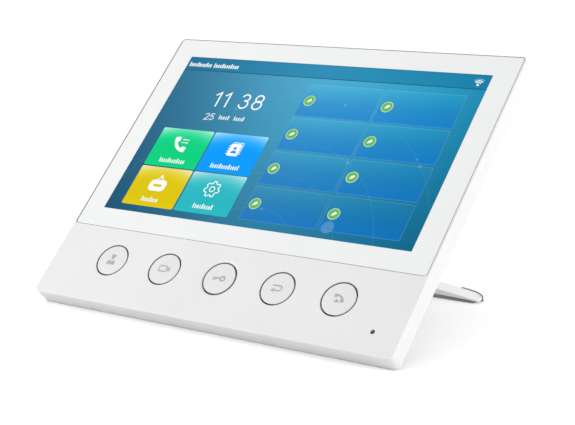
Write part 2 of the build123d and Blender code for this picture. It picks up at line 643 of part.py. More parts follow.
with BuildPart() as rear_cover:
    with BuildSketch(front_plane(COVER_FRONT)):
        with Locations((0, BODY_MID)):
            RectangleRounded(
                BODY_WIDTH - 2 * (SIDE_WALL + COVER_GAP),
                BODY_HEIGHT - 2 * (SIDE_WALL + COVER_GAP),
                BODY_CORNER - INNER_CORNER_LESS)
    slab(COVER_WALL)
    with BuildSketch(front_plane(COVER_FRONT)):
        with Locations((0, BOX_MID)):
            RectangleRounded(BOX_WIDTH, BOX_HEIGHT, BOX_CORNER)
    slab(BOX_DEPTH - COVER_FRONT)
    fillet(rear_cover.faces().sort_by(out_axis())[0].edges(), BOX_EDGE)
    with BuildSketch(front_plane(COVER_FRONT)):
        with Locations((0, BOX_MID)):
            RectangleRounded(BOX_WIDTH - 2 * BOX_WALL, BOX_HEIGHT - 2 * BOX_WALL, BOX_CORNER - BOX_WALL)
    slab(BOX_LINING - COVER_FRONT, Mode.SUBTRACT)
    # Standoffs for the main board
    with BuildSketch(front_plane(BOARD_BACK)):
        with Locations(*STANDOFFS):
            Circle(STANDOFF_WIDTH / 2)
            Circle(BRACKET_SCREW / 2 + SCREW_CLEARANCE, mode=Mode.SUBTRACT)
    slab(BOX_LINING - BOARD_BACK)
    # Ring that locates the speaker
    with BuildSketch(front_plane(BASKET_FRONT + BASKET_DEPTH / 2)):
        with Locations(SPEAKER_PLACE):
            Circle(SPEAKER_WIDTH / 2 + SPEAKER_GAP + SPEAKER_RIM)
            Circle(SPEAKER_WIDTH / 2 + SPEAKER_GAP, mode=Mode.SUBTRACT)
    slab(BOX_LINING - BASKET_FRONT - BASKET_DEPTH / 2)
    # Bosses inside for the bracket's screws and for the wall inserts
    with BuildSketch(front_plane(BOX_LINING - BRACKET_HOLE_DEPTH)):
        with Locations(*BRACKET_SCREWS):
            Circle(BRACKET_SCREW / 2 + BRACKET_BOSS_WALL)
    slab(BRACKET_HOLE_DEPTH)
    with BuildSketch(front_plane(BOX_LINING - INSERT_LENGTH)):
        with Locations(*WALL_PLACES):
            Circle(INSERT_BOSS)
    slab(INSERT_LENGTH)
    with BuildSketch(front_plane(BOX_DEPTH - BRACKET_HOLE_DEPTH)):
        with Locations(*BRACKET_SCREWS):
            Circle(BRACKET_SCREW / 2 + SCREW_CLEARANCE)
    slab(BRACKET_HOLE_DEPTH, Mode.SUBTRACT)
    with BuildSketch(front_plane(BOX_DEPTH - INSERT_LENGTH)):
        with Locations(*WALL_PLACES):
            Circle(INSERT_RADIUS)
    slab(INSERT_LENGTH, Mode.SUBTRACT)
    # Speaker grille: rings of round holes
    with BuildSketch(front_plane(BOX_LINING)):
        with Locations(SPEAKER_PLACE):
            Circle(GRILLE_HOLE / 2)
            for ring in range(1, GRILLE_RINGS + 1):
                with PolarLocations(ring * GRILLE_STEP, HOLES_PER_RING * ring):
                    Circle(GRILLE_HOLE / 2)
    slab(BOX_WALL, Mode.SUBTRACT)
    # Screw holes of the cover's own fixings, countersunk from behind
    with BuildSketch(front_plane(COVER_FRONT)):
        with Locations(*COVER_SCREWS):
            Circle(SMALL_SCREW / 2 + THROUGH_CLEARANCE)
    slab(COVER_WALL, Mode.SUBTRACT)
    with BuildSketch(front_plane(COVER_BACK - SMALL_HEAD_HEIGHT)):
        with Locations(*COVER_SCREWS):
            Circle(SMALL_HEAD / 2 + THROUGH_CLEARANCE)
    slab(SMALL_HEAD_HEIGHT, Mode.SUBTRACT)
    # Vents through the box's upper wall
    with BuildSketch(shelf_plane(BOX_TOP)):
        with Locations((0, (COVER_BACK + BOX_DEPTH) / 2)):
            with GridLocations(VENT_PITCH, 1, VENT_COUNT, 1):
                SlotOverall(VENT_LENGTH, VENT_WIDTH, rotation=90)
    extrude(amount=-BOX_WALL, mode=Mode.SUBTRACT)
    # Openings for the network socket and the wire terminals in the left wall
    with BuildSketch(side_plane(BOX_LEFT)):
        with Locations((SOCKET_UP, -SOCKET_MID_DEPTH)):
            Rectangle(SOCKET_SIZE[1] + 2 * PORT_GAP, SOCKET_SIZE[2] + 2 * PORT_GAP)
        with Locations((TERMINAL_UP, -TERMINAL_MID_DEPTH)):
            Rectangle(TERMINAL_HEIGHT + 2 * PORT_GAP, TERMINAL_SIZE[1] + 2 * PORT_GAP)
    extrude(amount=BOX_WALL, mode=Mode.SUBTRACT)
rear_cover.part.label = "rear_cover"
export_step(rear_cover.part, "parts/rear_cover.step")

with BuildPart() as wall_inserts:
    with BuildSketch(front_plane(BOX_DEPTH - INSERT_LENGTH)):
        with Locations(*WALL_PLACES):
            Circle(INSERT_RADIUS)
            Circle(INSERT_BORE / 2, mode=Mode.SUBTRACT)
    slab(INSERT_LENGTH)
wall_inserts.part.label = "wall_inserts"
export_step(wall_inserts.part, "parts/wall_inserts.step")


def screws(name, places, seat, shank, length, head, head_height):
    """A group of pan-head screws: heads stand behind the seat depth, shanks run forward from it."""
    with BuildPart() as group:
        with BuildSketch(front_plane(seat - length)):
            with Locations(*places):
                Circle(shank / 2)
        slab(length)
        with BuildSketch(front_plane(seat)):
            with Locations(*places):
                Circle(head / 2)
        slab(head_height)
        # A cross recess in each head
        with BuildSketch(front_plane(seat + head_height / 2)):
            with Locations(*places):
                Rectangle(head * DRIVE_SHARE, DRIVE_WIDTH)
                Rectangle(DRIVE_WIDTH, head * DRIVE_SHARE)
        slab(head_height / 2, Mode.SUBTRACT)
    group.part.label = name
    export_step(group.part, f"parts/{name}.step")


def front_facing_screws(name, places, seat, shank, length, head, head_height):
    """The same, turned round: heads stand in front of the seat depth and shanks run backwards."""
    with BuildPart() as group:
        with BuildSketch(front_plane(seat)):
            with Locations(*places):
                Circle(shank / 2)
        slab(length)
        with BuildSketch(front_plane(seat - head_height)):
            with Locations(*places):
                Circle(head / 2)
        slab(head_height)
    group.part.label = name
    export_step(group.part, f"parts/{name}.step")


screws("cover_screws", COVER_SCREWS, COVER_BACK - SMALL_HEAD_HEIGHT, SMALL_SCREW,
       COVER_BACK - SMALL_HEAD_HEIGHT - FRONT_WALL - SCREW_TIP_GAP, SMALL_HEAD, SMALL_HEAD_HEIGHT)
screws("key_board_screws", KEY_POSTS, KEY_BOARD_BACK, SMALL_SCREW,
       KEY_BOARD_BACK - FRONT_WALL - KEY_SCREW_TIP_GAP, SMALL_HEAD, SMALL_HEAD_HEIGHT)
screws("bracket_screws", BRACKET_SCREWS, BRACKET_FACE, BRACKET_SCREW,
       BRACKET_THICK + BRACKET_SCREW_BITE, BRACKET_HEAD, BRACKET_HEAD_HEIGHT)
front_facing_screws("board_screws", STANDOFFS, BOARD_FRONT, BRACKET_SCREW,
                    BOARD_THICK + BOARD_SCREW_BITE, BRACKET_HEAD, BOARD_HEAD_HEIGHT)

# ---------------------------------------------------------------- electronics in the box

with BuildPart() as main_board:
    with BuildSketch(front_plane(BOARD_FRONT)):
        with Locations((0, BOARD_MID)):
            Rectangle(BOARD_WIDTH, BOARD_TOP + BOARD_FOOT)
        with Locations(*STANDOFFS):
            Circle(BRACKET_SCREW / 2 + SCREW_CLEARANCE, mode=Mode.SUBTRACT)
    slab(BOARD_THICK)
main_board.part.label = "main_board"
export_step(main_board.part, "parts/main_board.step")

with BuildPart() as processor_shield:
    with BuildSketch(front_plane(BOARD_BACK)):
        with Locations(SHIELD_PLACE):
            Rectangle(SHIELD_SIZE[0], SHIELD_SIZE[1])
    slab(SHIELD_SIZE[2])
    with BuildSketch(front_plane(BOARD_BACK)):
        with Locations(SHIELD_PLACE):
            Rectangle(SHIELD_SIZE[0] - 2 * SHIELD_SKIN, SHIELD_SIZE[1] - 2 * SHIELD_SKIN)
    slab(SHIELD_SIZE[2] - SHIELD_SKIN, Mode.SUBTRACT)
processor_shield.part.label = "processor_shield"
export_step(processor_shield.part, "parts/processor_shield.step")

with BuildPart() as board_chips:
    for chip_x, chip_up, chip_width in CHIPS:
        with BuildSketch(front_plane(BOARD_BACK)):
            with Locations((chip_x, chip_up)):
                Rectangle(chip_width, chip_width * CHIP_SHAPE)
        slab(CHIP_THICK)
board_chips.part.label = "board_chips"
export_step(board_chips.part, "parts/board_chips.step")

with BuildPart() as radio_module:
    with BuildSketch(front_plane(BOARD_BACK)):
        with Locations(RADIO_PLACE):
            Rectangle(RADIO_SIZE[0], RADIO_SIZE[1])
    slab(RADIO_SIZE[2])
radio_module.part.label = "radio_module"
export_step(radio_module.part, "parts/radio_module.step")

with BuildPart() as radio_antenna:
    with BuildSketch(front_plane(COVER_FRONT - ANTENNA_SIZE[2])):
        with Locations((ANTENNA_X, COVER_SCREW_TOP)):
            Rectangle(ANTENNA_SIZE[0], ANTENNA_SIZE[1])
    slab(ANTENNA_SIZE[2])
radio_antenna.part.label = "radio_antenna"
export_step(radio_antenna.part, "parts/radio_antenna.step")

with BuildPart() as power_parts:
    with BuildSketch(front_plane(BOARD_BACK)):
        with Locations(*CHOKE_PLACES):
            Circle(CHOKE_WIDTH / 2)
    slab(CHOKE_HEIGHT)
power_parts.part.label = "power_parts"
export_step(power_parts.part, "parts/power_parts.step")

CONNECTOR_FRONT = BOARD_FRONT - CONNECTOR_DEPTH

with BuildPart() as ribbon_connectors:
    with BuildSketch(front_plane(CONNECTOR_FRONT)):
        for ribbon_x, ribbon_width in list(RIBBONS.values()) + [(KEY_RIBBON_X, KEY_RIBBON_WIDTH)]:
            with Locations((ribbon_x, CONNECTOR_UP)):
                Rectangle(ribbon_width + CONNECTOR_ENDS, CONNECTOR_LENGTH)
    slab(CONNECTOR_DEPTH)
ribbon_connectors.part.label = "ribbon_connectors"
export_step(ribbon_connectors.part, "parts/ribbon_connectors.step")

# Each display ribbon leaves the tray's lower edge, lies on its back and ends on its connector.
RIBBON_START = DISPLAY_MID - DISPLAY_HEIGHT / 2 + RIBBON_LAP
for ribbon_name, (ribbon_x, ribbon_width) in RIBBONS.items():
    with BuildPart() as ribbon:
        with BuildSketch(side_plane(ribbon_x - ribbon_width / 2)):
            with BuildLine():
                low = -BACKLIGHT_BACK
                high = -CONNECTOR_FRONT
                end = CONNECTOR_UP + CONNECTOR_LENGTH / 2
                foot = CONNECTOR_UP - CONNECTOR_LENGTH / 2
                Polyline(
                    (RIBBON_START, low),
                    (foot - RIBBON_BEND, low),
                    (foot, high + RIBBON_THICK),
                    (end, high + RIBBON_THICK),
                    (end, high),
                    (foot, high),
                    (foot - RIBBON_BEND, low - RIBBON_THICK),
                    (RIBBON_START, low - RIBBON_THICK),
                    close=True)
            make_face()
        extrude(amount=ribbon_width)
    ribbon.part.label = ribbon_name
    export_step(ribbon.part, f"parts/{ribbon_name}.step")

# The key ribbon runs straight up from the key board, in front of the main board.
KEY_RIBBON_START = -KEY_DROP + KEY_RIBBON_LAP
with BuildPart() as key_ribbon:
    with BuildSketch(front_plane(KEY_BOARD_BACK)):
        with Locations((KEY_RIBBON_X, (KEY_RIBBON_START + CONNECTOR_UP + CONNECTOR_LENGTH / 2) / 2)):
            Rectangle(KEY_RIBBON_WIDTH, CONNECTOR_UP + CONNECTOR_LENGTH / 2 - KEY_RIBBON_START)
    slab(CONNECTOR_FRONT - KEY_BOARD_BACK)
key_ribbon.part.label = "key_ribbon"
export_step(key_ribbon.part, "parts/key_ribbon.step")

# ---------------------------------------------------------------- speaker

with BuildPart() as speaker_gasket:
    with BuildSketch(front_plane(GASKET_FRONT)):
        with Locations(SPEAKER_PLACE):
            Circle(SPEAKER_WIDTH / 2)
            Circle(SPEAKER_WIDTH / 2 - GASKET_WIDTH, mode=Mode.SUBTRACT)
    slab(GASKET_THICK)
speaker_gasket.part.label = "speaker_gasket"
export_step(speaker_gasket.part, "parts/speaker_gasket.step")

with BuildPart() as speaker_basket:
    with BuildSketch(turning_plane(SPEAKER_PLACE)):
        with BuildLine():
            Polyline(
                (0, -BASKET_FRONT),
                (MAGNET_WIDTH / 2, -BASKET_FRONT),
                (SPEAKER_WIDTH / 2, -(GASKET_FRONT - BASKET_WALL)),
                (SPEAKER_WIDTH / 2, -GASKET_FRONT),
                (SPEAKER_WIDTH / 2 - GASKET_WIDTH, -GASKET_FRONT),
                (MAGNET_WIDTH / 2 - BASKET_WALL, -(BASKET_FRONT + BASKET_WALL)),
                (0, -(BASKET_FRONT + BASKET_WALL)),
                close=True)
        make_face()
    revolve(axis=out_axis(SPEAKER_PLACE))
speaker_basket.part.label = "speaker_basket"
export_step(speaker_basket.part, "parts/speaker_basket.step")

with BuildPart() as speaker_magnet:
    with BuildSketch(front_plane(BASKET_FRONT - MAGNET_DEPTH)):
        with Locations(SPEAKER_PLACE):
            Circle(MAGNET_WIDTH / 2)
    slab(MAGNET_DEPTH)
speaker_magnet.part.label = "speaker_magnet"
export_step(speaker_magnet.part, "parts/speaker_magnet.step")

CONE_REACH = SPEAKER_WIDTH / 2 - CONE_EDGE
with BuildPart() as speaker_cone:
    with BuildSketch(turning_plane(SPEAKER_PLACE)):
        with BuildLine():
            Polyline(
                (0, -(BASKET_FRONT + BASKET_WALL)),
                (MAGNET_WIDTH / 4, -(BASKET_FRONT + BASKET_WALL)),
                (MAGNET_WIDTH / 4, -(GASKET_FRONT - 2 * CONE_THICK)),
                (CONE_REACH, -(GASKET_FRONT - CONE_THICK)),
                (CONE_REACH, -GASKET_FRONT),
                (0, -(GASKET_FRONT - CONE_THICK)),
                close=True)
        make_face()
    revolve(axis=out_axis(SPEAKER_PLACE))
speaker_cone.part.label = "speaker_cone"
export_step(speaker_cone.part, "parts/speaker_cone.step")

# ---------------------------------------------------------------- network socket and wire terminals

with BuildPart() as network_socket:
    with BuildSketch(side_plane(PORT_FACE)):
        with Locations((SOCKET_UP, -SOCKET_MID_DEPTH)):
            Rectangle(SOCKET_SIZE[1], SOCKET_SIZE[2])
    extrude(amount=SOCKET_SIZE[0])
    with BuildSketch(side_plane(PORT_FACE)):
        with Locations((SOCKET_UP, -SOCKET_MID_DEPTH)):
            Rectangle(PLUG_SIZE[0], PLUG_SIZE[1])
    extrude(amount=PLUG_DEPTH, mode=Mode.SUBTRACT)
network_socket.part.label = "network_socket"
export_step(network_socket.part, "parts/network_socket.step")

with BuildPart() as network_contacts:
    for i in range(PIN_COUNT):
        with BuildSketch(side_plane(PORT_FACE + PLUG_DEPTH - CONTACT_LENGTH)):
            with Locations((SOCKET_UP + (i - (PIN_COUNT - 1) / 2) * PIN_PITCH,
                            -SOCKET_MID_DEPTH + PLUG_SIZE[1] / 2 - CONTACT_WIDTH / 2)):
                Rectangle(CONTACT_WIDTH, CONTACT_WIDTH)
        extrude(amount=CONTACT_LENGTH)
network_contacts.part.label = "network_contacts"
export_step(network_contacts.part, "parts/network_contacts.step")

TERMINAL_UPS = [TERMINAL_UP + (i - (TERMINAL_COUNT - 1) / 2) * TERMINAL_PITCH for i in range(TERMINAL_COUNT)]
with BuildPart() as wire_terminals:
    with BuildSketch(side_plane(PORT_FACE)):
        with Locations((TERMINAL_UP, -TERMINAL_MID_DEPTH)):
            Rectangle(TERMINAL_HEIGHT, TERMINAL_SIZE[1])
    extrude(amount=TERMINAL_SIZE[0])
    with BuildSketch(side_plane(PORT_FACE)):
        with Locations(*[(up, -TERMINAL_MID_DEPTH) for up in TERMINAL_UPS]):
            Rectangle(WIRE_HOLE, WIRE_HOLE_TALL)
    extrude(amount=WIRE_HOLE_DEPTH, mode=Mode.SUBTRACT)
wire_terminals.part.label = "wire_terminals"
export_step(wire_terminals.part, "parts/wire_terminals.step")

# ---------------------------------------------------------------- stand bracket and hinge pin

with BuildPart() as stand_bracket:
    with BuildSketch(front_plane(BOX_DEPTH)):
        with Locations((0, BRACKET_UP)):
            RectangleRounded(BRACKET_WIDTH, BRACKET_HEIGHT, BRACKET_THICK)
    slab(BRACKET_THICK)
    fillet(stand_bracket.faces().sort_by(out_axis())[0].edges(), BRACKET_THICK / 4)
    for ear_x in (-EAR_END, EAR_START):
        with BuildSketch(side_plane(ear_x)):
            with Locations((PIN_UP, -PIN_DEPTH)):
                Circle(EAR_RADIUS)
            with Locations((PIN_UP, -(BOX_DEPTH + BRACKET_THICK / 2 + PIN_DEPTH) / 2)):
                Rectangle(2 * EAR_RADIUS, PIN_DEPTH - BOX_DEPTH - BRACKET_THICK / 2)
        extrude(amount=EAR_THICK)
    with BuildSketch(side_plane(-EAR_END)):
        with Locations((PIN_UP, -PIN_DEPTH)):
            Circle(PIN_WIDTH / 2 + PIN_FIT)
    extrude(amount=2 * EAR_END, mode=Mode.SUBTRACT)
    with BuildSketch(front_plane(BOX_DEPTH)):
        with Locations(*BRACKET_SCREWS):
            Circle(BRACKET_SCREW / 2 + THROUGH_CLEARANCE)
    slab(BRACKET_THICK, Mode.SUBTRACT)
stand_bracket.part.label = "stand_bracket"
export_step(stand_bracket.part, "parts/stand_bracket.step")

with BuildPart() as hinge_pin:
    with BuildSketch(side_plane(-EAR_END - PIN_HEAD_THICK)):
        with Locations((PIN_UP, -PIN_DEPTH)):
            Circle(PIN_HEAD_WIDTH / 2)
    extrude(amount=PIN_HEAD_THICK)
    with BuildSketch(side_plane(-EAR_END)):
        with Locations((PIN_UP, -PIN_DEPTH)):
            Circle(PIN_WIDTH / 2)
    extrude(amount=2 * EAR_END + 2 * PIN_HEAD_THICK)
hinge_pin.part.label = "hinge_pin"
export_step(hinge_pin.part, "parts/hinge_pin.step")

with BuildPart() as pin_clip:
    with BuildSketch(side_plane(EAR_END)):
        with Locations((PIN_UP, -PIN_DEPTH)):
            Circle(PIN_HEAD_WIDTH / 2)
            Circle(PIN_WIDTH / 2, mode=Mode.SUBTRACT)
        with Locations((PIN_UP, -PIN_DEPTH - PIN_HEAD_WIDTH / 2)):
            Rectangle(PIN_WIDTH / 2, PIN_HEAD_WIDTH / 2, mode=Mode.SUBTRACT)
    extrude(amount=PIN_HEAD_THICK / 2)
pin_clip.part.label = "pin_clip"
export_step(pin_clip.part, "parts/pin_clip.step")

# ---------------------------------------------------------------- stand leg

FOOT_PROFILE = [
    (-FOOT_HALF, SOLE_THICK),
    (FOOT_HALF, SOLE_THICK),
    (FOOT_HALF, FOOT_TIP),
    (FOOT_RIDGE_HALF, FOOT_RIDGE),
    (-FOOT_RIDGE_HALF, FOOT_RIDGE),
    (-FOOT_HALF, FOOT_TIP)]
FOOT_MID_Y = (FOOT_FRONT + FOOT_BACK) / 2


def foot_outline(outset=0.0):
    """Draw the foot's plan into the current sketch: square-cornered in front, well rounded behind."""
    with Locations((0, FOOT_MID_Y)):
        with BuildSketch(mode=Mode.PRIVATE) as plan:
            Rectangle(2 * (FOOT_HALF + outset), FOOT_DEPTH + 2 * outset)
            rear = plan.vertices().group_by(Axis.Y)[-1]
            front = plan.vertices().group_by(Axis.Y)[0]
            fillet(rear, FOOT_BACK_CORNER + outset)
            fillet(front, FOOT_FRONT_CORNER + outset)
        add(plan.sketch)


with BuildPart() as foot_body:
    with BuildSketch(Plane.XY):
        foot_outline()
    extrude(amount=FOOT_RIDGE)
    with BuildSketch(Plane.XZ.offset(-FOOT_FRONT)):
        with BuildLine():
            Polyline(*FOOT_PROFILE, close=True)
        make_face()
    extrude(amount=-FOOT_DEPTH, mode=Mode.INTERSECT)

HEEL_FACE = BRACKET_FACE + HEEL_GAP
with BuildPart() as stand_leg:
    add(foot_body.part)
    with BuildSketch(LEG_PLANE):
        with BuildLine():
            Polyline(
                (-BARREL_HALF, 0),
                (-BARREL_HALF, -EAR_RADIUS - EAR_CLEARANCE),
                (-BLADE_FOOT_WIDTH / 2, -LEG_LENGTH),
                (BLADE_FOOT_WIDTH / 2, -LEG_LENGTH),
                (BARREL_HALF, -EAR_RADIUS - EAR_CLEARANCE),
                (BARREL_HALF, 0),
                close=True)
        make_face()
    extrude(amount=BLADE_THICK / 2, both=True)
    # A shallow pressed panel in the blade's rear face
    with BuildSketch(LEG_PLANE.offset(-BLADE_THICK / 2)):
        with BuildLine():
            panel_foot = -LEG_LENGTH + FOOT_RIDGE + PANEL_BORDER
            panel_head = -BARREL_RADIUS - PANEL_BORDER
            Polyline(
                (-BARREL_HALF + PANEL_BORDER, panel_head),
                (-BLADE_FOOT_WIDTH / 2 + 2 * PANEL_BORDER, panel_foot),
                (BLADE_FOOT_WIDTH / 2 - 2 * PANEL_BORDER, panel_foot),
                (BARREL_HALF - PANEL_BORDER, panel_head),
                close=True)
        make_face()
    extrude(amount=PANEL_RECESS, mode=Mode.SUBTRACT)
    # The hinge barrel, and the heel that meets the bracket when the stand is open
    with BuildSketch(side_plane(-BARREL_HALF)):
        with Locations((PIN_UP, -PIN_DEPTH)):
            Circle(BARREL_RADIUS)
    extrude(amount=2 * BARREL_HALF)
    with BuildSketch(side_plane(-HEEL_HALF)):
        with Locations((PIN_UP + HEEL_LENGTH / 2, -HEEL_FACE - HEEL_THICK / 2)):
            Rectangle(HEEL_LENGTH, HEEL_THICK)
    extrude(amount=2 * HEEL_HALF)
    with BuildSketch(side_plane(-BARREL_HALF)):
        with Locations((PIN_UP, -PIN_DEPTH)):
            Circle(PIN_WIDTH / 2 + HINGE_FIT)
    extrude(amount=2 * BARREL_HALF, mode=Mode.SUBTRACT)
stand_leg.part.label = "stand_leg"
export_step(stand_leg.part, "parts/stand_leg.step")

# Rubber lips that wrap the rounded rear corners of the two wings
with BuildPart() as sole_lips:
    with BuildSketch(Plane.XY):
        foot_outline(LIP_THICK)
        with BuildSketch(mode=Mode.PRIVATE) as foot_hole:
            foot_outline()
        add(foot_hole.sketch, mode=Mode.SUBTRACT)
        with Locations((0, FOOT_MID_Y)):
            Rectangle(2 * LIP_START, 2 * FOOT_DEPTH, mode=Mode.SUBTRACT)
        with Locations((0, FOOT_FRONT)):
            Rectangle(3 * FOOT_HALF, FOOT_DEPTH, mode=Mode.SUBTRACT)
    extrude(amount=FOOT_RIDGE)
    with BuildSketch(Plane.XZ.offset(-FOOT_FRONT)):
        with BuildLine():
            reach = FOOT_HALF + LIP_THICK
            Polyline(
                (-reach, 0),
                (reach, 0),
                (reach, FOOT_TIP + LIP_RISE),
                (FOOT_RIDGE_HALF, FOOT_RIDGE + LIP_RISE),
                (-FOOT_RIDGE_HALF, FOOT_RIDGE + LIP_RISE),
                (-reach, FOOT_TIP + LIP_RISE),
                close=True)
        make_face()
    extrude(amount=-(FOOT_DEPTH + LIP_THICK), mode=Mode.INTERSECT)

with BuildPart() as foot_sole:
    with BuildSketch(Plane.XY):
        with Locations((0, FOOT_MID_Y)):
            with BuildSketch(mode=Mode.PRIVATE) as tread:
                Rectangle(2 * (FOOT_HALF - SOLE_INSET), FOOT_DEPTH)
                fillet(tread.vertices().group_by(Axis.Y)[-1], FOOT_BACK_CORNER - SOLE_INSET)
            add(tread.sketch)
    with BuildSketch(Plane.XY.offset(SOLE_THICK)):
        with Locations((0, FOOT_MID_Y)):
            with BuildSketch(mode=Mode.PRIVATE) as flare:
                Rectangle(2 * (FOOT_HALF - SOLE_INSET + SOLE_FLARE), FOOT_DEPTH)
                fillet(flare.vertices().group_by(Axis.Y)[-1], FOOT_BACK_CORNER - SOLE_INSET + SOLE_FLARE)
            add(flare.sketch)
    loft()
    with BuildSketch(Plane.XY):
        with BuildSketch(mode=Mode.PRIVATE) as rear_floor:
            foot_outline()
            with Locations((0, FOOT_MID_Y)):
                Rectangle(2 * LIP_START, 2 * FOOT_DEPTH, mode=Mode.SUBTRACT)
            with Locations((0, FOOT_FRONT)):
                Rectangle(3 * FOOT_HALF, FOOT_DEPTH, mode=Mode.SUBTRACT)
        add(rear_floor.sketch)
    extrude(amount=SOLE_THICK)
    add(sole_lips.part)
foot_sole.part.label = "foot_sole"
export_step(foot_sole.part, "parts/foot_sole.step")

print(f"screen centre {tuple(round(c, 4) for c in SCREEN_CENTRE)}")
print(f"pin centre {tuple(round(c, 4) for c in PIN_CENTRE)}")
print(f"leg tilt {degrees(LEG_TILT):.3f}, fold angle {FOLD_ANGLE:.3f}, leg length {LEG_LENGTH:.3f}")
print(f"foot front {FOOT_FRONT:.3f}, foot back {FOOT_BACK:.3f}")
print(f"wall fixing centre {tuple(round(c, 4) for c in spot(0, -WALL_CENTRE_DROP, BOX_DEPTH))}")
print(f"socket mouth {tuple(round(c, 4) for c in spot(PORT_FACE, SOCKET_UP, SOCKET_MID_DEPTH))}")
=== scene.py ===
# %% [markdown]
# # A video intercom monitor on its desk stand
#
# The monitor is a flat white body with a glass front, a touch picture and five round keys.
# Its mechanical parts are already designed, in metres, with +Z up and the front facing -Y.
# This lesson loads them, dresses each one in its own finish, and adds the printed and
# lit pieces that a mechanical model leaves out.

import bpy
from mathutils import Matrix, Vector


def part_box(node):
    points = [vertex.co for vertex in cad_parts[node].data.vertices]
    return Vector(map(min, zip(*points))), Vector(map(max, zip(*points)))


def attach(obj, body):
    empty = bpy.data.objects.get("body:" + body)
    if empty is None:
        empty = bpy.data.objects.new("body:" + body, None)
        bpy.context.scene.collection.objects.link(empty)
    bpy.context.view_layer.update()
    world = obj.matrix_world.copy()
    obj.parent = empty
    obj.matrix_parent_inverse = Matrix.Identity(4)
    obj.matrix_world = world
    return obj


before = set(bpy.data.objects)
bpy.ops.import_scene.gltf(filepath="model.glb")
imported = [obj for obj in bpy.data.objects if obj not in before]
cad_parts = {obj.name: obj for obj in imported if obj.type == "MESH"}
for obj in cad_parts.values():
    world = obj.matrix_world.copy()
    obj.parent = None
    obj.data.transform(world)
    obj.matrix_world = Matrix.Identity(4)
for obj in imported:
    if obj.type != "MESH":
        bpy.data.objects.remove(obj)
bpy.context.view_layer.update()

# %% [markdown]
# ## Where things are on the front
#
# Everything printed or lit sits on a panel that leans back at 45 degrees, so it is easiest to
# draw flat and lay the drawing on the panel afterwards. The screen's centre is the origin of
# that drawing: `across` runs to the right and `up` runs up the slope, both in millimetres.
# The glass gives the centre: its lower rear edge is its lowest line and its upper rear edge the
# line furthest back, and both are sharp, so its box tells exactly where they are.

# %% The panel's own axes
from math import atan2, cos, pi, radians, sin, sqrt

import bmesh
import bpy
from mathutils import Matrix, Vector

MM = 0.001
LEAN = radians(45)
ACROSS = Vector((1, 0, 0))
UP = Vector((0, sin(LEAN), cos(LEAN)))
OUT = Vector((0, -cos(LEAN), sin(LEAN)))

glass_low, glass_high = (Vector(corner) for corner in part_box("cover_glass"))
GLASS_BACK = 1.25
GLASS_FOOT = 52.31
GLASS_HEAD = 52.81
centre_y = glass_high.y - (GLASS_HEAD + GLASS_BACK) * MM * UP.y
centre_z = glass_low.z + (GLASS_FOOT + GLASS_BACK) * MM * UP.z
FRONT_CENTRE = Vector((0, centre_y, centre_z))


def on_panel(across, up, depth=0.0):
    """A point of the panel, in metres; depth is how far it lies behind the front face."""
    return FRONT_CENTRE + (across * ACROSS + up * UP - depth * OUT) * MM


print("screen centre at", tuple(round(value, 5) for value in FRONT_CENTRE))

# %% [markdown]
# ## The camera and the light
#
# A product picture of such a monitor is taken with a long lens, so that its edges stay nearly
# parallel. The camera stands to the right of the front and a little above it. The light is a
# bright even sky, as in a white tent, with two soft lamps: a large one that makes the right side a
# little brighter than the rest, and a smaller one that lifts the left of the front. The floor is
# wide and pale, and catches a faint shadow where the body and the stand touch it.

# %% The camera
def add_object(name, data):
    """Put a new object into the scene."""
    made = bpy.data.objects.new(name, data)
    bpy.context.scene.collection.objects.link(made)
    return made


CAMERA_PLACE = FRONT_CENTRE + Vector((348.37, -486.513, 84.545)) * MM
CAMERA_LOOK = Vector((-0.5735, 0.79775, -0.18629))
CAMERA_RIGHT = Vector((0.81187, 0.58384, 0.00074))
CAMERA_LENS = 91.38

camera_data = bpy.data.cameras.new("studio_camera")
camera_data.lens = CAMERA_LENS
camera_data.sensor_width = 36
camera_data.clip_start = 0.01
camera = add_object("studio_camera", camera_data)
backwards = -CAMERA_LOOK.normalized()
sideways = (CAMERA_RIGHT - CAMERA_RIGHT.dot(backwards) * backwards).normalized()
turn = Matrix((sideways, backwards.cross(sideways), backwards)).transposed()
camera.matrix_world = Matrix.Translation(CAMERA_PLACE) @ turn.to_4x4()
bpy.context.scene.camera = camera
print("camera", round((CAMERA_PLACE - FRONT_CENTRE).length, 3), "m from the screen")

# %% The light and the colour scale
WHITE = (1.0, 1.0, 1.0, 1.0)
SKY_LIGHT = 1.04
LAMP_TARGET = Vector((0, 0, 0.05))
world = bpy.data.worlds.new("white_tent")
world.use_nodes = True
sky = world.node_tree.nodes["Background"].inputs
sky["Color"].default_value = WHITE
sky["Strength"].default_value = SKY_LIGHT
bpy.context.scene.world = world
bpy.context.scene.view_settings.view_transform = "Standard"


def soft_lamp(name, place, width, power):
    """A square soft lamp at a place in metres, aimed at the middle of the monitor."""
    data = bpy.data.lights.new(name, "AREA")
    data.size = width
    data.energy = power
    lamp = add_object(name, data)
    lamp.location = place
    lamp.rotation_euler = (LAMP_TARGET - lamp.location).to_track_quat("-Z", "Y").to_euler()


soft_lamp("side_lamp", Vector((1.5, 0.25, 0.35)), 0.9, 15.0)
soft_lamp("left_lamp", Vector((-0.75, -0.75, 0.55)), 0.5, 6.6)
print("sky", SKY_LIGHT, "and", len(bpy.data.lights), "soft lamps")

# %% [markdown]
# ## How a finish is made
#
# No real surface is one flat colour. Moulded plastic has a fine grain from its steel mould,
# rubber is mottled and dull, and a circuit board shows its weave. Each finish below starts
# from Blender's Principled shader and adds noise that has a real size in millimetres, so the
# grain is as coarse on a screw as on the body. The place of a point on the object drives all
# patterns, which keeps them fixed to the piece when it moves.

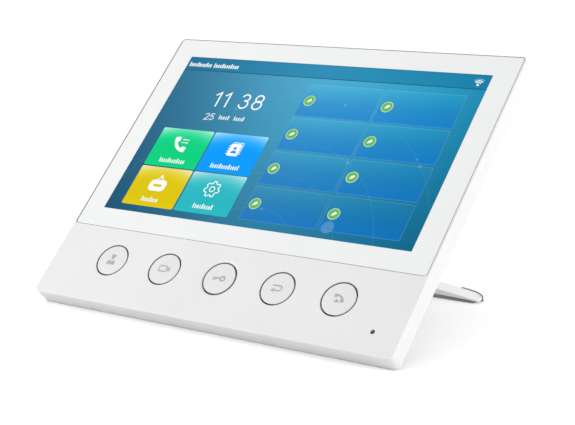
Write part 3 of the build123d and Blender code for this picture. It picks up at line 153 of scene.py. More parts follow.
# %% A small bench for making finishes
def shade(red, green, blue):
    """A colour given on the usual 0 to 255 scale, as the linear values that a shader takes."""
    values = [channel / 255 for channel in (red, green, blue)]
    return tuple(v / 12.92 if v <= 0.04045 else ((v + 0.055) / 1.055) ** 2.4 for v in values) + (1.0,)


def grey(level):
    """A neutral grey on the same scale."""
    return shade(level, level, level)


def scaled(colour, share):
    """A colour with its light multiplied by a share, and no brighter than white."""
    return tuple(min(1.0, channel * share) for channel in colour[:3]) + (1.0,)


def greys(low, high, start=0.3, end=0.7):
    """The stops of a ramp from one grey to another."""
    return [(start, grey(low)), (end, grey(high))]


class Finish:
    """One material in the making: its node tree, its shader and the place of each point."""

    def __init__(self, name, roughness=0.5, metal=0.0):
        self.material = bpy.data.materials.new(name)
        self.material.use_nodes = True
        self.tree = self.material.node_tree
        self.shader = self.tree.nodes["Principled BSDF"]
        self.set("Roughness", roughness)
        self.set("Metallic", metal)
        self.place = self.tree.nodes.new("ShaderNodeTexCoord").outputs["Object"]

    def set(self, name, value):
        """Set one of the shader's inputs to a value, or drive it from a socket."""
        self.feed(self.shader.inputs[name], value)

    def feed(self, socket, value):
        """Link a socket to another one, or give it a plain value."""
        if isinstance(value, bpy.types.NodeSocket):
            self.tree.links.new(value, socket)
        else:
            socket.default_value = value

    def node(self, kind, inputs=None, **settings):
        """Add a node, choose its settings and feed its inputs, which are named or numbered."""
        made = self.tree.nodes.new(kind)
        for name, value in settings.items():
            setattr(made, name, value)
        for name, value in (inputs or {}).items():
            self.feed(made.inputs[name], value)
        return made

    def sum(self, operation, *values):
        """The result of one arithmetic step."""
        made = self.node("ShaderNodeMath", dict(enumerate(values)), operation=operation)
        return made.outputs[0]

    def noise(self, size, detail=2.0, stretch=None):
        """Cloudy noise between 0 and 1 whose lumps are about this many millimetres wide."""
        place = self.place
        if stretch:
            place = self.node("ShaderNodeVectorMath", {0: place, 1: stretch}, operation="MULTIPLY").outputs[0]
        inputs = {"Vector": place, "Scale": 1 / (size * MM), "Detail": detail}
        return self.node("ShaderNodeTexNoise", inputs).outputs["Fac"]

    def cells(self, size):
        """The distance to the nearest of many scattered points, this many millimetres apart."""
        inputs = {"Vector": self.place, "Scale": 1 / (size * MM)}
        return self.node("ShaderNodeTexVoronoi", inputs).outputs["Distance"]

    def ramp(self, factor, stops):
        """Colours, or greys used as numbers, along a factor; stops are (place, colour) pairs."""
        made = self.node("ShaderNodeValToRGB", {"Fac": factor})
        band = made.color_ramp
        while len(band.elements) < len(stops):
            band.elements.new(0.5)
        for element, (place, colour) in zip(band.elements, stops):
            element.position = place
            element.color = colour
        return made.outputs["Color"]

    def between(self, factor, low, high):
        """A number that runs from low to high as the factor runs from 0 to 1."""
        inputs = {"Value": factor, "To Min": low, "To Max": high}
        return self.node("ShaderNodeMapRange", inputs).outputs["Result"]

    def mix(self, factor, first, second, blend="MIX"):
        """Two colours mixed by a factor."""
        inputs = {0: factor, 6: first, 7: second}
        return self.node("ShaderNodeMix", inputs, data_type="RGBA", blend_type=blend).outputs[2]

    def paint(self, factor, stops):
        """Colour the surface along a factor."""
        self.set("Base Color", self.ramp(factor, stops))

    def dull(self, factor, low, high):
        """Let the roughness wander from low to high with a factor."""
        self.set("Roughness", self.between(factor, low, high))

    def relief(self, height, depth, below=None):
        """Raise the surface by up to depth millimetres where the height is 1."""
        inputs = {"Height": height, "Distance": depth * MM}
        if below is not None:
            inputs["Normal"] = below
        made = self.node("ShaderNodeBump", inputs)
        self.set("Normal", made.outputs["Normal"])
        return made.outputs["Normal"]


print("bench ready")

# %% [markdown]
# ## White moulded plastic
#
# The body, the keys and the stand are white ABS. The front is moulded against a finely blasted
# steel face, so it looks smooth from a metre away and shows a fine grain close up. The rear cover
# and the stand come from rougher moulds, which hide scratches. One function makes all four, each
# with its own grain size, grain depth and tint, and all with the slow cloudy change of tint and
# gloss that a large flat moulding always has.

# %% White plastic finishes
MOULD_CLOUD = 38.0


def white_plastic(name, tint, grain, depth, roughness):
    """Matt white ABS; grain and depth are in millimetres."""
    finish = Finish(name)
    cloud = finish.noise(MOULD_CLOUD, 3.0)
    speck = finish.noise(grain * 3, 4.0)
    base = finish.ramp(cloud, greys(tint - 2, tint + 1))
    flecked = finish.ramp(speck, greys(246, 255, start=0.25, end=0.6))
    finish.set("Base Color", finish.mix(0.35, base, flecked, "MULTIPLY"))
    finish.dull(finish.noise(grain * 5, 3.0), roughness - 0.06, roughness + 0.08)
    finish.set("Specular IOR Level", 0.4)
    finish.set("Subsurface Weight", 0.04)
    finish.set("Subsurface Radius", (1.0, 0.95, 0.9))
    finish.set("Subsurface Scale", 0.001)
    waves = finish.relief(cloud, 0.01)
    finish.relief(finish.cells(grain), depth, below=waves)
    return finish.material


finishes = {
    "white_shell": white_plastic("blasted_white_abs", 197, 0.16, 0.004, 0.42),
    "key_white": white_plastic("key_white_abs", 194, 0.12, 0.002, 0.34),
    "white_shell_rear": white_plastic("sparked_white_abs", 201, 0.34, 0.014, 0.56),
    "stand_white": white_plastic("stand_white_abs", 229, 0.26, 0.009, 0.48),
}
print(len(finishes), "white plastics")

# %% [markdown]
# ## The printed glass
#
# The cover glass is printed white on its back, except for the window over the picture. Seen
# through a millimetre of glass the print is a cool white with a hard gloss on top. A coat layer
# gives that second, sharper reflection. The print itself is not perfectly even, and a used glass
# carries a trace of wiping marks that only show in the gloss.

# %% The cover glass
def printed_glass():
    """White print seen through a millimetre of clear glass."""
    finish = Finish("back_printed_glass")
    print_cloud = finish.noise(22.0, 4.0)
    print_tints = [(0.3, shade(200, 201, 201)), (0.7, shade(203, 204, 204))]
    finish.paint(print_cloud, print_tints)
    wiping = finish.noise(30.0, 5.0, stretch=(1.0, 0.25, 0.25))
    finish.dull(wiping, 0.30, 0.40)
    finish.set("Coat Weight", 0.6)
    finish.set("Coat Roughness", 0.05)
    finish.set("Specular IOR Level", 0.3)
    finish.relief(print_cloud, 0.002)
    return finish.material


finishes["cover_glass"] = printed_glass()

# %% [markdown]
# ## Rubber, foam and silicone
#
# The stand's sole is dark rubber, slightly bloomed to grey where it has been handled. Inside,
# foam pads press the display forward, a silicone mat carries the keys and a boot seals the
# microphone. All are soft and dull. Foam gets open cells, rubber a fine grain and silicone a
# smooth skin that lets a little light in.

# %% Soft finishes
FOAM_CELL = 0.7


def rubber(name, level, grain, sheen=0.0):
    """Dull rubber of about this grey, with a grain in millimetres."""
    finish = Finish(name)
    bloom = finish.noise(9.0, 5.0)
    finish.paint(bloom, greys(level - 8, level + 12, end=0.75))
    finish.dull(finish.noise(grain * 6, 4.0), 0.62, 0.82)
    finish.set("Sheen Weight", sheen)
    finish.set("Specular IOR Level", 0.35)
    finish.relief(finish.cells(grain), 0.02)
    return finish.material


def foam(name, level):
    """Open-celled foam of about this grey."""
    finish = Finish(name, roughness=0.95)
    pores = finish.cells(FOAM_CELL)
    finish.paint(pores, greys(level - 22, level + 10, start=0.1, end=0.6))
    finish.set("Sheen Weight", 0.25)
    finish.relief(pores, 0.18)
    return finish.material


def silicone(name):
    """Milky silicone that lets a little light in."""
    finish = Finish(name, roughness=0.46)
    cloud = finish.noise(4.0, 4.0)
    finish.paint(cloud, [(0.3, shade(206, 206, 200)), (0.7, shade(222, 222, 216))])
    finish.set("Subsurface Weight", 0.3)
    finish.set("Subsurface Scale", 0.002)
    finish.relief(cloud, 0.01)
    return finish.material


finishes["sole_rubber"] = rubber("stand_sole_rubber", 116, 0.22, 0.15)
finishes["dark_rubber"] = rubber("boot_rubber", 44, 0.16)
finishes["dark_foam"] = foam("display_foam", 52)
finishes["silicone"] = silicone("key_mat_silicone")
print("soft finishes made")

# %% [markdown]
# ## Metals
#
# The metals are zinc-plated screws, a brushed steel tray, can and socket shell, a polished hinge
# pin, brass inserts, gold-plated contacts and a nickel-plated magnet. A metal's colour is its
# reflection, so each has a coloured base, a roughness that wanders and the marks of how it was
# made: brushed sheet is scratched along one direction, while turned brass and plated screws are
# finely speckled.

# %% Metal finishes
def sheet_metal(name, colour, rough, along, depth):
    """Rolled or brushed metal, whose scratches run along the axis with the smallest stretch."""
    finish = Finish(name, metal=1.0)
    streaks = finish.noise(0.25, 4.0, stretch=along)
    finish.paint(streaks, [(0.3, colour), (0.7, scaled(colour, 1.12))])
    finish.dull(streaks, rough - 0.07, rough + 0.1)
    finish.relief(streaks, depth)
    return finish.material


def plated_metal(name, colour, rough, grain):
    """Plated or turned metal with a fine speckle and faint dark spots."""
    finish = Finish(name, metal=1.0)
    speckle = finish.noise(grain, 5.0)
    finish.paint(speckle, [(0.22, scaled(colour, 0.72)), (0.5, colour)])
    finish.dull(finish.noise(grain * 3, 3.0), rough - 0.06, rough + 0.12)
    finish.relief(speckle, 0.003)
    return finish.material


SHEETS = {
    "steel_tray": ("tray_steel", grey(176), 0.38, (0.04, 1.0, 1.0), 0.004),
    "steel_can": ("shield_can", grey(196), 0.34, (1.0, 0.05, 0.05), 0.003),
    "socket_shell": ("socket_shell_steel", grey(204), 0.27, (0.05, 1.0, 1.0), 0.003),
}
PLATED = {
    "screw_steel": ("zinc_plated_steel", shade(198, 200, 204), 0.32, 0.3),
    "pin_steel": ("polished_pin_steel", shade(208, 208, 210), 0.2, 0.5),
    "brass": ("turned_brass", shade(214, 178, 96), 0.28, 0.25),
    "gold_contact": ("gold_plating", shade(232, 190, 92), 0.22, 0.2),
    "magnet": ("nickel_plated_magnet", shade(160, 160, 158), 0.4, 0.4),
}
finishes.update({slot: sheet_metal(*values) for slot, values in SHEETS.items()})
finishes.update({slot: plated_metal(*values) for slot, values in PLATED.items()})
print(len(SHEETS) + len(PLATED), "metals")

# %% [markdown]
# ## Boards, films and paper
#
# The boards are glass fibre under green lacquer: the weave is just visible as a fine criss-cross,
# and copper tracks show as lighter bands. Chips are moulded black resin, ribbons are amber
# plastic film with copper lines, and the speaker's cone is pressed paper pulp. None of these is
# seen from outside, but they are there when the part is opened or shown in section.

# %% Finishes of the electronics
TRACK_PITCH = 1.6


def circuit_board(name):
    """Green lacquer over copper tracks and glass cloth."""
    finish = Finish(name, roughness=0.38)
    inputs = {"Vector": finish.place, "Scale": 1 / (TRACK_PITCH * MM), "Distortion": 1.2}
    tracks = finish.node("ShaderNodeTexWave", inputs, bands_direction="DIAGONAL").outputs["Fac"]
    weave = finish.cells(0.5)
    lacquer = finish.ramp(tracks, [(0.45, shade(14, 74, 46)), (0.6, shade(34, 112, 70))])
    threads = finish.ramp(weave, greys(40, 220, start=0.1))
    finish.set("Base Color", finish.mix(0.2, lacquer, threads))
    finish.dull(tracks, 0.3, 0.46)
    finish.set("Coat Weight", 0.3)
    finish.relief(tracks, 0.03)
    return finish.material


def resin(name, level, roughness):
    """A finely speckled moulded plastic of about this grey."""
    finish = Finish(name)
    speck = finish.noise(0.3, 5.0)
    finish.paint(speck, greys(level - 6, level + 8))
    finish.dull(speck, roughness - 0.08, roughness + 0.1)
    finish.relief(speck, 0.01)
    return finish.material


def film(name, base, lines, pitch, roughness):
    """A thin plastic film with lines of another colour along it, a pitch in millimetres apart."""
    finish = Finish(name)
    inputs = {"Vector": finish.place, "Scale": 0.5 / (pitch * MM)}
    stripes = finish.node("ShaderNodeTexWave", inputs, bands_direction="X").outputs["Fac"]
    finish.paint(stripes, [(0.35, base), (0.65, lines)])
    finish.dull(finish.noise(3.0, 3.0), roughness - 0.07, roughness + 0.09)
    finish.relief(stripes, 0.01)
    return finish.material


finishes["circuit_board"] = circuit_board("green_circuit_board")
RESINS = {
    "chip_black": ("chip_resin", 34, 0.5),
    "connector_white": ("connector_nylon", 214, 0.45),
    "terminal_plastic": ("terminal_nylon", 46, 0.42),
    "speaker_paper": ("speaker_pulp", 58, 0.85),
    "black_tape": ("assembly_tape", 22, 0.6),
    "clear_film": ("bonding_gel", 150, 0.2),
}
FILMS = {
    "display": ("display_matrix", shade(16, 18, 22), shade(24, 28, 34), 0.16, 0.2),
    "ribbon_film": ("amber_ribbon", shade(176, 104, 28), shade(204, 142, 62), 0.5, 0.32),
    "antenna_film": ("antenna_foil", shade(30, 30, 32), shade(190, 132, 70), 3.0, 0.4),
}
finishes.update({slot: resin(*values) for slot, values in RESINS.items()})
finishes.update({slot: film(*values) for slot, values in FILMS.items()})
print("finishes in all:", len(finishes))

# %% [markdown]
# ## Dress the mechanical parts
#
# Every part already names the slot it takes its finish from, so one loop dresses them all. The
# loop stops with an error if a slot has no finish, so nothing is left in a plain colour.

# %% Put each finish on its parts
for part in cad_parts.values():
    for place in part.material_slots:
        place.material = finishes[place.material.name.split(".")[0]]
print("dressed", len(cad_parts), "parts")

# %% [markdown]
# ## The floor
#
# A pale seamless floor, as wide as a studio sheet. A trace of paper texture keeps its shading
# from looking computed, and it is light enough to melt into the background.

# %% The studio floor
floor_finish = Finish("studio_paper", roughness=0.9)
paper = floor_finish.noise(60.0, 4.0)
floor_finish.paint(paper, greys(251, 253))
floor_finish.relief(floor_finish.noise(1.2, 4.0), 0.02)

FLOOR_HALF = 9.0
floor_mesh = bpy.data.meshes.new("studio_floor")
corners = [(-1, -1), (1, -1), (1, 1), (-1, 1)]
floor_mesh.from_pydata([(x * FLOOR_HALF, y * FLOOR_HALF, 0.0) for x, y in corners], [], [(0, 1, 2, 3)])
floor_mesh.materials.append(floor_finish.material)
floor = add_object("studio_floor", floor_mesh)
print("floor", 2 * FLOOR_HALF, "m wide")

# %% [markdown]
# ## Drawing flat shapes on the glass
#
# Behind the glass of a real monitor the picture glows a fraction of a millimetre down, and the
# eye reads glass and picture as one surface. So each patch of the picture is modelled as a very
# thin closed plate in the shallow space between the glass and the body's rim. A shape is a list
# of closed loops, the first one its outline and any others its holes. Blender's own
# tessellation fills it, and short walls close its edge.
#
# Where two patches lie over each other, the upper one has to stand a little higher. The values
# that end in `_TOP` give each layer's depth behind the front face, in millimetres, from the
# wallpaper up to the small white tags.

# %% Plates cut from flat outlines
from mathutils.geometry import tessellate_polygon

GLASS_FACE = 0.15
SINK = 0.01
WALLPAPER_TOP = 0.13
BAR_TOP = 0.12
CARD_TOP = 0.112
CARD_FRAME_TOP = 0.1
BADGE_RIM_TOP = 0.095
RING_TOP = 0.092
DOT_TOP = 0.088
TILE_TOP = 0.086
BADGE_FIELD_TOP = 0.08
SYMBOL_TOP = 0.07
BADGE_TAG_TOP = 0.065


def plate(name, shapes, finish, top, place=on_panel, bottom=GLASS_FACE + SINK):
    """Build one object from many flat shapes; top and bottom are depths behind the front face."""
    points = []
    faces = []
    for loops in shapes:
        start = len(points)
        flat = [point for loop in loops for point in loop]
        count = len(flat)
        points += [place(u, v, top) for u, v in flat]
        points += [place(u, v, bottom) for u, v in flat]
        for a, b, c in tessellate_polygon([[Vector((u, v, 0)) for u, v in loop] for loop in loops]):
            faces.append((start + a, start + b, start + c))
            faces.append((start + count + c, start + count + b, start + count + a))
        first = start
        for loop in loops:
            for i in range(len(loop)):
                a = first + i
                b = first + (i + 1) % len(loop)
                faces.append((a, b, count + b, count + a))
            first += len(loop)
    mesh = bpy.data.meshes.new(name)
    mesh.from_pydata(points, [], faces)
    shell = bmesh.new()
    shell.from_mesh(mesh)
    bmesh.ops.recalc_face_normals(shell, faces=shell.faces)
    shell.to_mesh(mesh)
    shell.free()
    mesh.materials.append(finish)
    return add_object(name, mesh)


def arc(u, v, radius, start, end, steps=24, tall=1.0):
    """Points along an arc, with angles in degrees from the right, counter-clockwise."""
    turns = [radians(start + (end - start) * i / steps) for i in range(steps + 1)]
    return [(u + radius * cos(t), v + radius * tall * sin(t)) for t in turns]


def disc(u, v, radius, steps=48, tall=1.0):
    """A closed circle of points, or an ellipse where tall isn't 1."""
    return arc(u, v, radius, 0, 360 - 360 / steps, steps - 1, tall)


def rounded(left, low, right, high, radius, steps=6):
    """A rectangle with rounded corners."""
    corners = [(right - radius, high - radius, 0), (left + radius, high - radius, 90),
               (left + radius, low + radius, 180), (right - radius, low + radius, 270)]
    return [point for u, v, angle in corners for point in arc(u, v, radius, angle, angle + 90, steps)]


def bar(left, low, right, high):
    """A rectangle."""
    return [(left, low), (right, low), (right, high), (left, high)]


MITRE_LIMIT = 0.35


def line(points, width, closed=False):
    """The outline of a line drawn along points; an open line has round ends."""
    path = [Vector(point) for point in points]
    count = len(path)
    left = []
    right = []
    for i, point in enumerate(path):
        before = path[i - 1] if closed or i else path[0]
        after = path[(i + 1) % count] if closed or i < count - 1 else path[-1]
        into = (point - before).normalized() if point != before else (after - point).normalized()
        away = (after - point).normalized() if after != point else into
        side = Vector((-into.y - away.y, into.x + away.x)).normalized()
        reach = width / 2 / max(MITRE_LIMIT, side.dot(Vector((-into.y, into.x))))
        left.append(tuple(point + side * reach))
        right.append(tuple(point - side * reach))
    if closed:
        return [left, right[::-1]]
    ends = []
    for point, toward in ((path[-1], path[-1] - path[-2]), (path[0], path[0] - path[1])):
        angle = atan2(toward.y, toward.x) * 180 / pi
        ends.append(arc(point.x, point.y, width / 2, angle + 60, angle - 60, 5))
    return [left + ends[0] + right[::-1] + ends[1]]


def moved(shapes, u, v, size=1.0, turn=0.0):
    """The same shapes, enlarged, turned by degrees and moved."""
    c = cos(radians(turn)) * size
    s = sin(radians(turn)) * size
    return [[[(u + c * x - s * y, v + s * x + c * y) for x, y in loop] for loop in loops] for loops in shapes]


print("drawing tools ready")

# %% [markdown]
# ## The light of the picture
#
# The picture makes its own light, so its colours go to the shader's emission, and the surface
# under them is almost black, as an unlit display is. A faint gloss keeps a little of the room's
# reflection. The wallpaper is a teal gradient: brightest at the top near the middle, and darker
# towards the lower corners. One ramp runs across, one runs down, and they are multiplied.

# %% Glowing finishes
SCREEN_WIDTH = 154.08
SCREEN_HEIGHT = 85.92
GLOW_LOSS = 0.012
FADE_HEAD = 34.0
FADE_FOOT = -42.0


class Glow(Finish):
    """A lit part of the picture; u and v are a point's place on the panel, in millimetres."""

    def __init__(self, name):
        super().__init__(name, roughness=0.16)
        self.set("Base Color", (0.004, 0.004, 0.005, 1.0))
        self.set("Specular IOR Level", 0.07)
        self.set("Emission Strength", 1.0)
        inputs = {0: self.place, 1: FRONT_CENTRE}
        away = self.node("ShaderNodeVectorMath", inputs, operation="SUBTRACT").outputs[0]
        self.u = self.along(away, ACROSS)
        self.v = self.along(away, UP)
        self.dull(self.noise(18.0, 4.0), 0.13, 0.2)

    def along(self, away, axis):
        """How far along an axis a point lies, in millimetres."""
        made = self.node("ShaderNodeVectorMath", {0: away, 1: axis / MM}, operation="DOT_PRODUCT")
        return made.outputs["Value"]

    def share(self, value, start, end):
        """0 where the value is at start and 1 where it is at end."""
        inputs = {"Value": value, "From Min": start, "From Max": end}
        return self.node("ShaderNodeMapRange", inputs).outputs["Result"]

    def wallpaper(self):
        """The teal gradient at this point."""
        middle = SCREEN_WIDTH / 2
        across = self.ramp(self.share(self.u, -middle, middle), [
            (0.0, shade(48, 115, 149)), (0.14, shade(60, 133, 167)), (0.24, shade(67, 146, 180)),
            (0.34, shade(74, 158, 194)), (0.44, shade(78, 168, 204)), (0.53, shade(75, 172, 208)),
            (0.63, shade(68, 169, 208)), (0.79, shade(52, 160, 199)), (0.89, shade(41, 152, 192)),
            (0.97, shade(36, 144, 183)), (1.0, shade(31, 141, 181))])
        down = self.ramp(self.share(self.v, FADE_HEAD, FADE_FOOT), [
            (0.0, WHITE), (0.26, (0.8, 0.88, 0.9, 1.0)), (0.5, (0.63, 0.755, 0.8, 1.0)),
            (0.7, (0.53, 0.645, 0.69, 1.0)), (1.0, (0.36, 0.51, 0.56, 1.0))])
        return self.mix(1.0, across, down, "MULTIPLY")

    def shine(self, colour):
        """Give off this colour, less the little that the gloss adds to it."""
        trimmed = self.mix(1.0, colour, (GLOW_LOSS, GLOW_LOSS, GLOW_LOSS, 1.0), "SUBTRACT")
        self.set("Emission Color", trimmed)
        return self.material


def plain_glow(name, colour, alpha=1.0):
    """One colour with the faint raster of the display's own dots."""
    glow = Glow(name)
    raster = glow.cells(0.35)
    glow.set("Alpha", alpha)
    return glow.shine(glow.ramp(raster, [(0.2, colour), (0.8, scaled(colour, 0.97))]))


print("glow finishes ready")

# %% [markdown]
# ## Wallpaper and status bar
#
# The wallpaper fills the window in the printed glass. Across its top lies a slightly darker
# status bar with a fine shadow line under it. Large faint circles, all about one point below the
# screen, and a few soft dots decorate it. They are only a hint, so they are nearly transparent.

# %% Wallpaper and status bar
HALF_U = SCREEN_WIDTH / 2
HALF_V = SCREEN_HEIGHT / 2
BAR_FOOT = 35.6

wall_glow = Glow("wallpaper_glow")
wallpaper = plate("screen_wallpaper", [[rounded(-HALF_U, -HALF_V, HALF_U, HALF_V, 0.2)]],
                  wall_glow.shine(wall_glow.wallpaper()), WALLPAPER_TOP)

bar_glow = Glow("status_bar_glow")
bar_across = bar_glow.ramp(bar_glow.share(bar_glow.u, -HALF_U, HALF_U), [
    (0.0, shade(30, 115, 152)), (0.14, shade(34, 122, 160)), (0.34, shade(43, 135, 174)),
    (0.47, shade(46, 141, 181)), (0.62, shade(40, 141, 181)), (0.8, shade(32, 135, 176)),
    (1.0, shade(22, 127, 168))])
bar_down = bar_glow.ramp(bar_glow.share(bar_glow.v, HALF_V, BAR_FOOT), [
    (0.0, (0.7, 0.8, 0.84, 1.0)), (0.12, WHITE), (0.9, (1.04, 1.02, 1.02, 1.0)),
    (1.0, (0.95, 0.95, 0.95, 1.0))])
bar_finish = bar_glow.shine(bar_glow.mix(1.0, bar_across, bar_down, "MULTIPLY"))
SHADOW_HEIGHT = 0.36
bar_shape = [[bar(-HALF_U, BAR_FOOT, HALF_U, HALF_V)]]
shadow_shape = [[bar(-HALF_U, BAR_FOOT - SHADOW_HEIGHT, HALF_U, BAR_FOOT)]]
status_bar = plate("screen_status_bar", bar_shape, bar_finish, BAR_TOP)
shadow_glow = plain_glow("bar_shadow_glow", shade(22, 92, 124))
shadow_line = plate("screen_bar_shadow", shadow_shape, shadow_glow, BAR_TOP)
print("wallpaper", SCREEN_WIDTH, "by", SCREEN_HEIGHT, "mm")

# %% Faint rings and dots
RING_MIDDLE = (0.5, -62.5)
RING_SIZES = (29.7, 47.2, 64.8, 88.2)
RING_WIDTH = 0.22
RING_TALL = 1.045
RING_MARGIN = 0.3


def ring_on_screen(radius):
    """The stretch of one large ring that lies on the screen, below the status bar."""
    whole = arc(RING_MIDDLE[0], RING_MIDDLE[1], radius / RING_TALL, 0, 180, 240, RING_TALL)
    side = HALF_U - RING_MARGIN
    foot = RING_MARGIN - HALF_V
    head = BAR_FOOT - 2 * RING_MARGIN
    inside = [(u, v) for u, v in whole if abs(u) < side and foot < v < head]
    return line(inside, RING_WIDTH)


DOTS = [(16.8, 22.2, 0.85), (31.2, -6.3, 0.8), (61.2, -1.4, 0.5), (63.9, -4.5, 0.75), (2.7, -33.3, 0.6),
        (36.7, -37.6, 2.85), (-37.1, 15.4, 0.6)]
rings = plate("screen_rings", [ring_on_screen(radius) for radius in RING_SIZES],
              plain_glow("ring_glow", shade(200, 235, 250), alpha=0.05), RING_TOP)
dots = plate("screen_dots", [[disc(u, v, radius)] for u, v, radius in DOTS],
             plain_glow("dot_glow", shade(170, 220, 245), alpha=0.17), DOT_TOP)
print(len(RING_SIZES), "rings and", len(DOTS), "dots")

# %% [markdown]
# ## Contact cards
#
# Two columns of four translucent cards fill the right of the picture. Each is clear at its top,
# where the wallpaper shows through, and turns a strong blue towards its foot. The rows are evenly
# spaced, so the place within a card comes from the remainder of a division, and one finish
# serves all eight. A hairline frame, a little lighter than the card, edges each one.

# %% Cards and their frames
CARD_LEFTS = (-5.9, 32.55)
CARD_TOPS = (31.9, 13.83, -4.27, -22.33)
CARD_WIDTH = 37.55
CARD_HEIGHT = 17.05
CARD_PITCH = 18.08
CARD_CORNER = 0.7
FRAME_WIDTH = 0.32
FRAME_CORNER = 0.5
FRAME_LIFT = 0.052
CARD_HEAD_LIGHT = (1.14, 1.14, 1.12, 1.0)


def card_glow(name, lift):
    """The wallpaper turning blue down each card, lifted towards white by a share."""
    glow = Glow(name)
    below = glow.sum("SUBTRACT", CARD_TOPS[0] + 0.01, glow.v)
    within = glow.share(glow.sum("MODULO", below, CARD_PITCH), 0.0, CARD_HEIGHT)
    blueness = glow.ramp(within, [(0.0, grey(40)), (0.5, grey(150)), (1.0, grey(197))])
    tint = glow.mix(blueness, glow.wallpaper(), shade(6, 119, 216))
    head_light = glow.ramp(within, [(0.0, CARD_HEAD_LIGHT), (0.5, WHITE)])
    lit = glow.mix(1.0, tint, head_light, "MULTIPLY")
    return glow.shine(glow.mix(lift, lit, WHITE))


card_shapes = []
frame_shapes = []
for left in CARD_LEFTS:
    for top in CARD_TOPS:
        outer = rounded(left, top - CARD_HEIGHT, left + CARD_WIDTH, top, CARD_CORNER)
        inner = rounded(left + FRAME_WIDTH, top - CARD_HEIGHT + FRAME_WIDTH,
                        left + CARD_WIDTH - FRAME_WIDTH, top - FRAME_WIDTH, FRAME_CORNER)
        card_shapes.append([outer])
        frame_shapes.append([outer, inner[::-1]])
cards = plate("screen_cards", card_shapes, card_glow("card_glow", 0.0), CARD_TOP)
frame_finish = card_glow("card_frame_glow", FRAME_LIFT)
card_frames = plate("screen_card_frames", frame_shapes, frame_finish, CARD_FRAME_TOP)
print(len(card_shapes), "cards")

# %% [markdown]
# ## Four large tiles
#
# Green for calls, blue for the address book, yellow for quiet hours and teal for the settings.
# Each tile has a soft white sheen along its top that is strongest in the two corners. The sheen
# is a sum of two terms: one fades down the tile, the other also grows towards the sides. A display
# mixes its colours in its own uneven scale, so the tile's colour is brought to that scale with a
# gamma node, mixed with white there, and brought back.

# %% The tiles
TILE_WIDTH = 28.15
TILE_HEIGHT = 20.5
TILE_LEFTS = (-69.2, -40.2)
TILE_TOPS = (2.2, -19.0)
TILE_PITCH_ACROSS = 29.0
TILE_PITCH_DOWN = 21.2
DISPLAY_GAMMA = 2.2
TILE_CORNER = 0.75
SHEEN_START = -0.4
MIDDLE_SHEEN = 0.48
CORNER_SHEEN = 0.34


def tile_glow(name, colour, foot_colour):
    """A tile's colour with the white sheen of its top and its two upper corners."""
    glow = Glow(name)
    past_left = glow.sum("SUBTRACT", glow.u, TILE_LEFTS[0] - 0.01)
    from_left = glow.sum("MODULO", past_left, TILE_PITCH_ACROSS)
    side = glow.share(from_left, TILE_WIDTH / 2, TILE_WIDTH)
    below_top = glow.sum("SUBTRACT", TILE_TOPS[0] + 0.01, glow.v)
    from_top = glow.sum("MODULO", below_top, TILE_PITCH_DOWN)
    left_side = glow.share(from_left, TILE_WIDTH / 2, 0.0)
    corner = glow.sum("POWER", glow.sum("MAXIMUM", side, left_side), 2.0)
    fade = glow.sum("POWER", glow.share(from_top, 9.0, SHEEN_START), 2.2)
    wide_fade = glow.sum("POWER", glow.share(from_top, 12.5, SHEEN_START), 1.8)
    sheen = glow.sum("ADD", glow.sum("MULTIPLY", fade, MIDDLE_SHEEN),
                     glow.sum("MULTIPLY", glow.sum("MULTIPLY", wide_fade, corner), CORNER_SHEEN))
    down_tile = glow.share(from_top, 0.0, TILE_HEIGHT)
    body = glow.ramp(down_tile, [(0.0, colour), (0.8, colour), (1.0, foot_colour)])
    as_seen = glow.node("ShaderNodeGamma", {"Color": body, "Gamma": 1 / DISPLAY_GAMMA}).outputs["Color"]
    lifted = glow.mix(sheen, as_seen, WHITE)
    linear = glow.node("ShaderNodeGamma", {"Color": lifted, "Gamma": DISPLAY_GAMMA}).outputs["Color"]
    return glow.shine(linear)


TILES = [
    ("calls", 0, 0, shade(2, 210, 128), shade(1, 214, 127)),
    ("book", 1, 0, shade(2, 156, 255), shade(1, 157, 254)),
    ("quiet", 0, 1, shade(222, 198, 2), shade(231, 203, 0)),
    ("settings", 1, 1, shade(42, 185, 194), shade(41, 188, 195)),
]
tiles = []
for tile_name, column, row, colour, foot_colour in TILES:
    left = TILE_LEFTS[column]
    top = TILE_TOPS[row]
    outline = rounded(left, top - TILE_HEIGHT, left + TILE_WIDTH, top, TILE_CORNER)
    tile_finish = tile_glow(f"{tile_name}_glow", colour, foot_colour)
    tiles.append(plate(f"tile_{tile_name}", [[outline]], tile_finish, TILE_TOP))
print(len(tiles), "tiles,", TILE_WIDTH, "by", TILE_HEIGHT, "mm")

# %% [markdown]
# ## Symbols on the tiles
#
# White symbols tell what each tile does. They are drawn from arcs, thick lines and discs: a
# handset with two arrows, an address book with a small figure, a sign on a string and a gear.
# Instead of words, each tile carries a row of small rounded beads, the way a page layout is
# greyed in before its text is written.

# %% The symbols
SYMBOL_WHITE = plain_glow("symbol_glow", WHITE)


def handset():
    """A telephone handset lying along a quarter circle, about two units long."""
    grip = line(arc(1.05, 1.05, 1.53, 187, 263, 16), 0.36)
    pad = [[rounded(-0.30, -0.34, 0.30, 0.34, 0.13)]]
    return [grip] + moved(pad, -0.34, 0.88, turn=97) + moved(pad, 0.88, -0.34, turn=-7)


def arrow(length, width, head):
    """An arrow that points left, from 0 to its length."""
    point = [(0.0, 0.0), (head, -head * 0.55), (head, head * 0.55)]
    return [[bar(head * 0.7, -width / 2, length, width / 2)], [point]]


calls_symbol = moved(handset(), -56.75, -7.15, 4.2)
calls_symbol += moved(arrow(3.7, 0.34, 0.95), -55.6, -3.4)
calls_symbol += moved(arrow(3.7, 0.34, 0.95), -51.9, -5.0, turn=180)

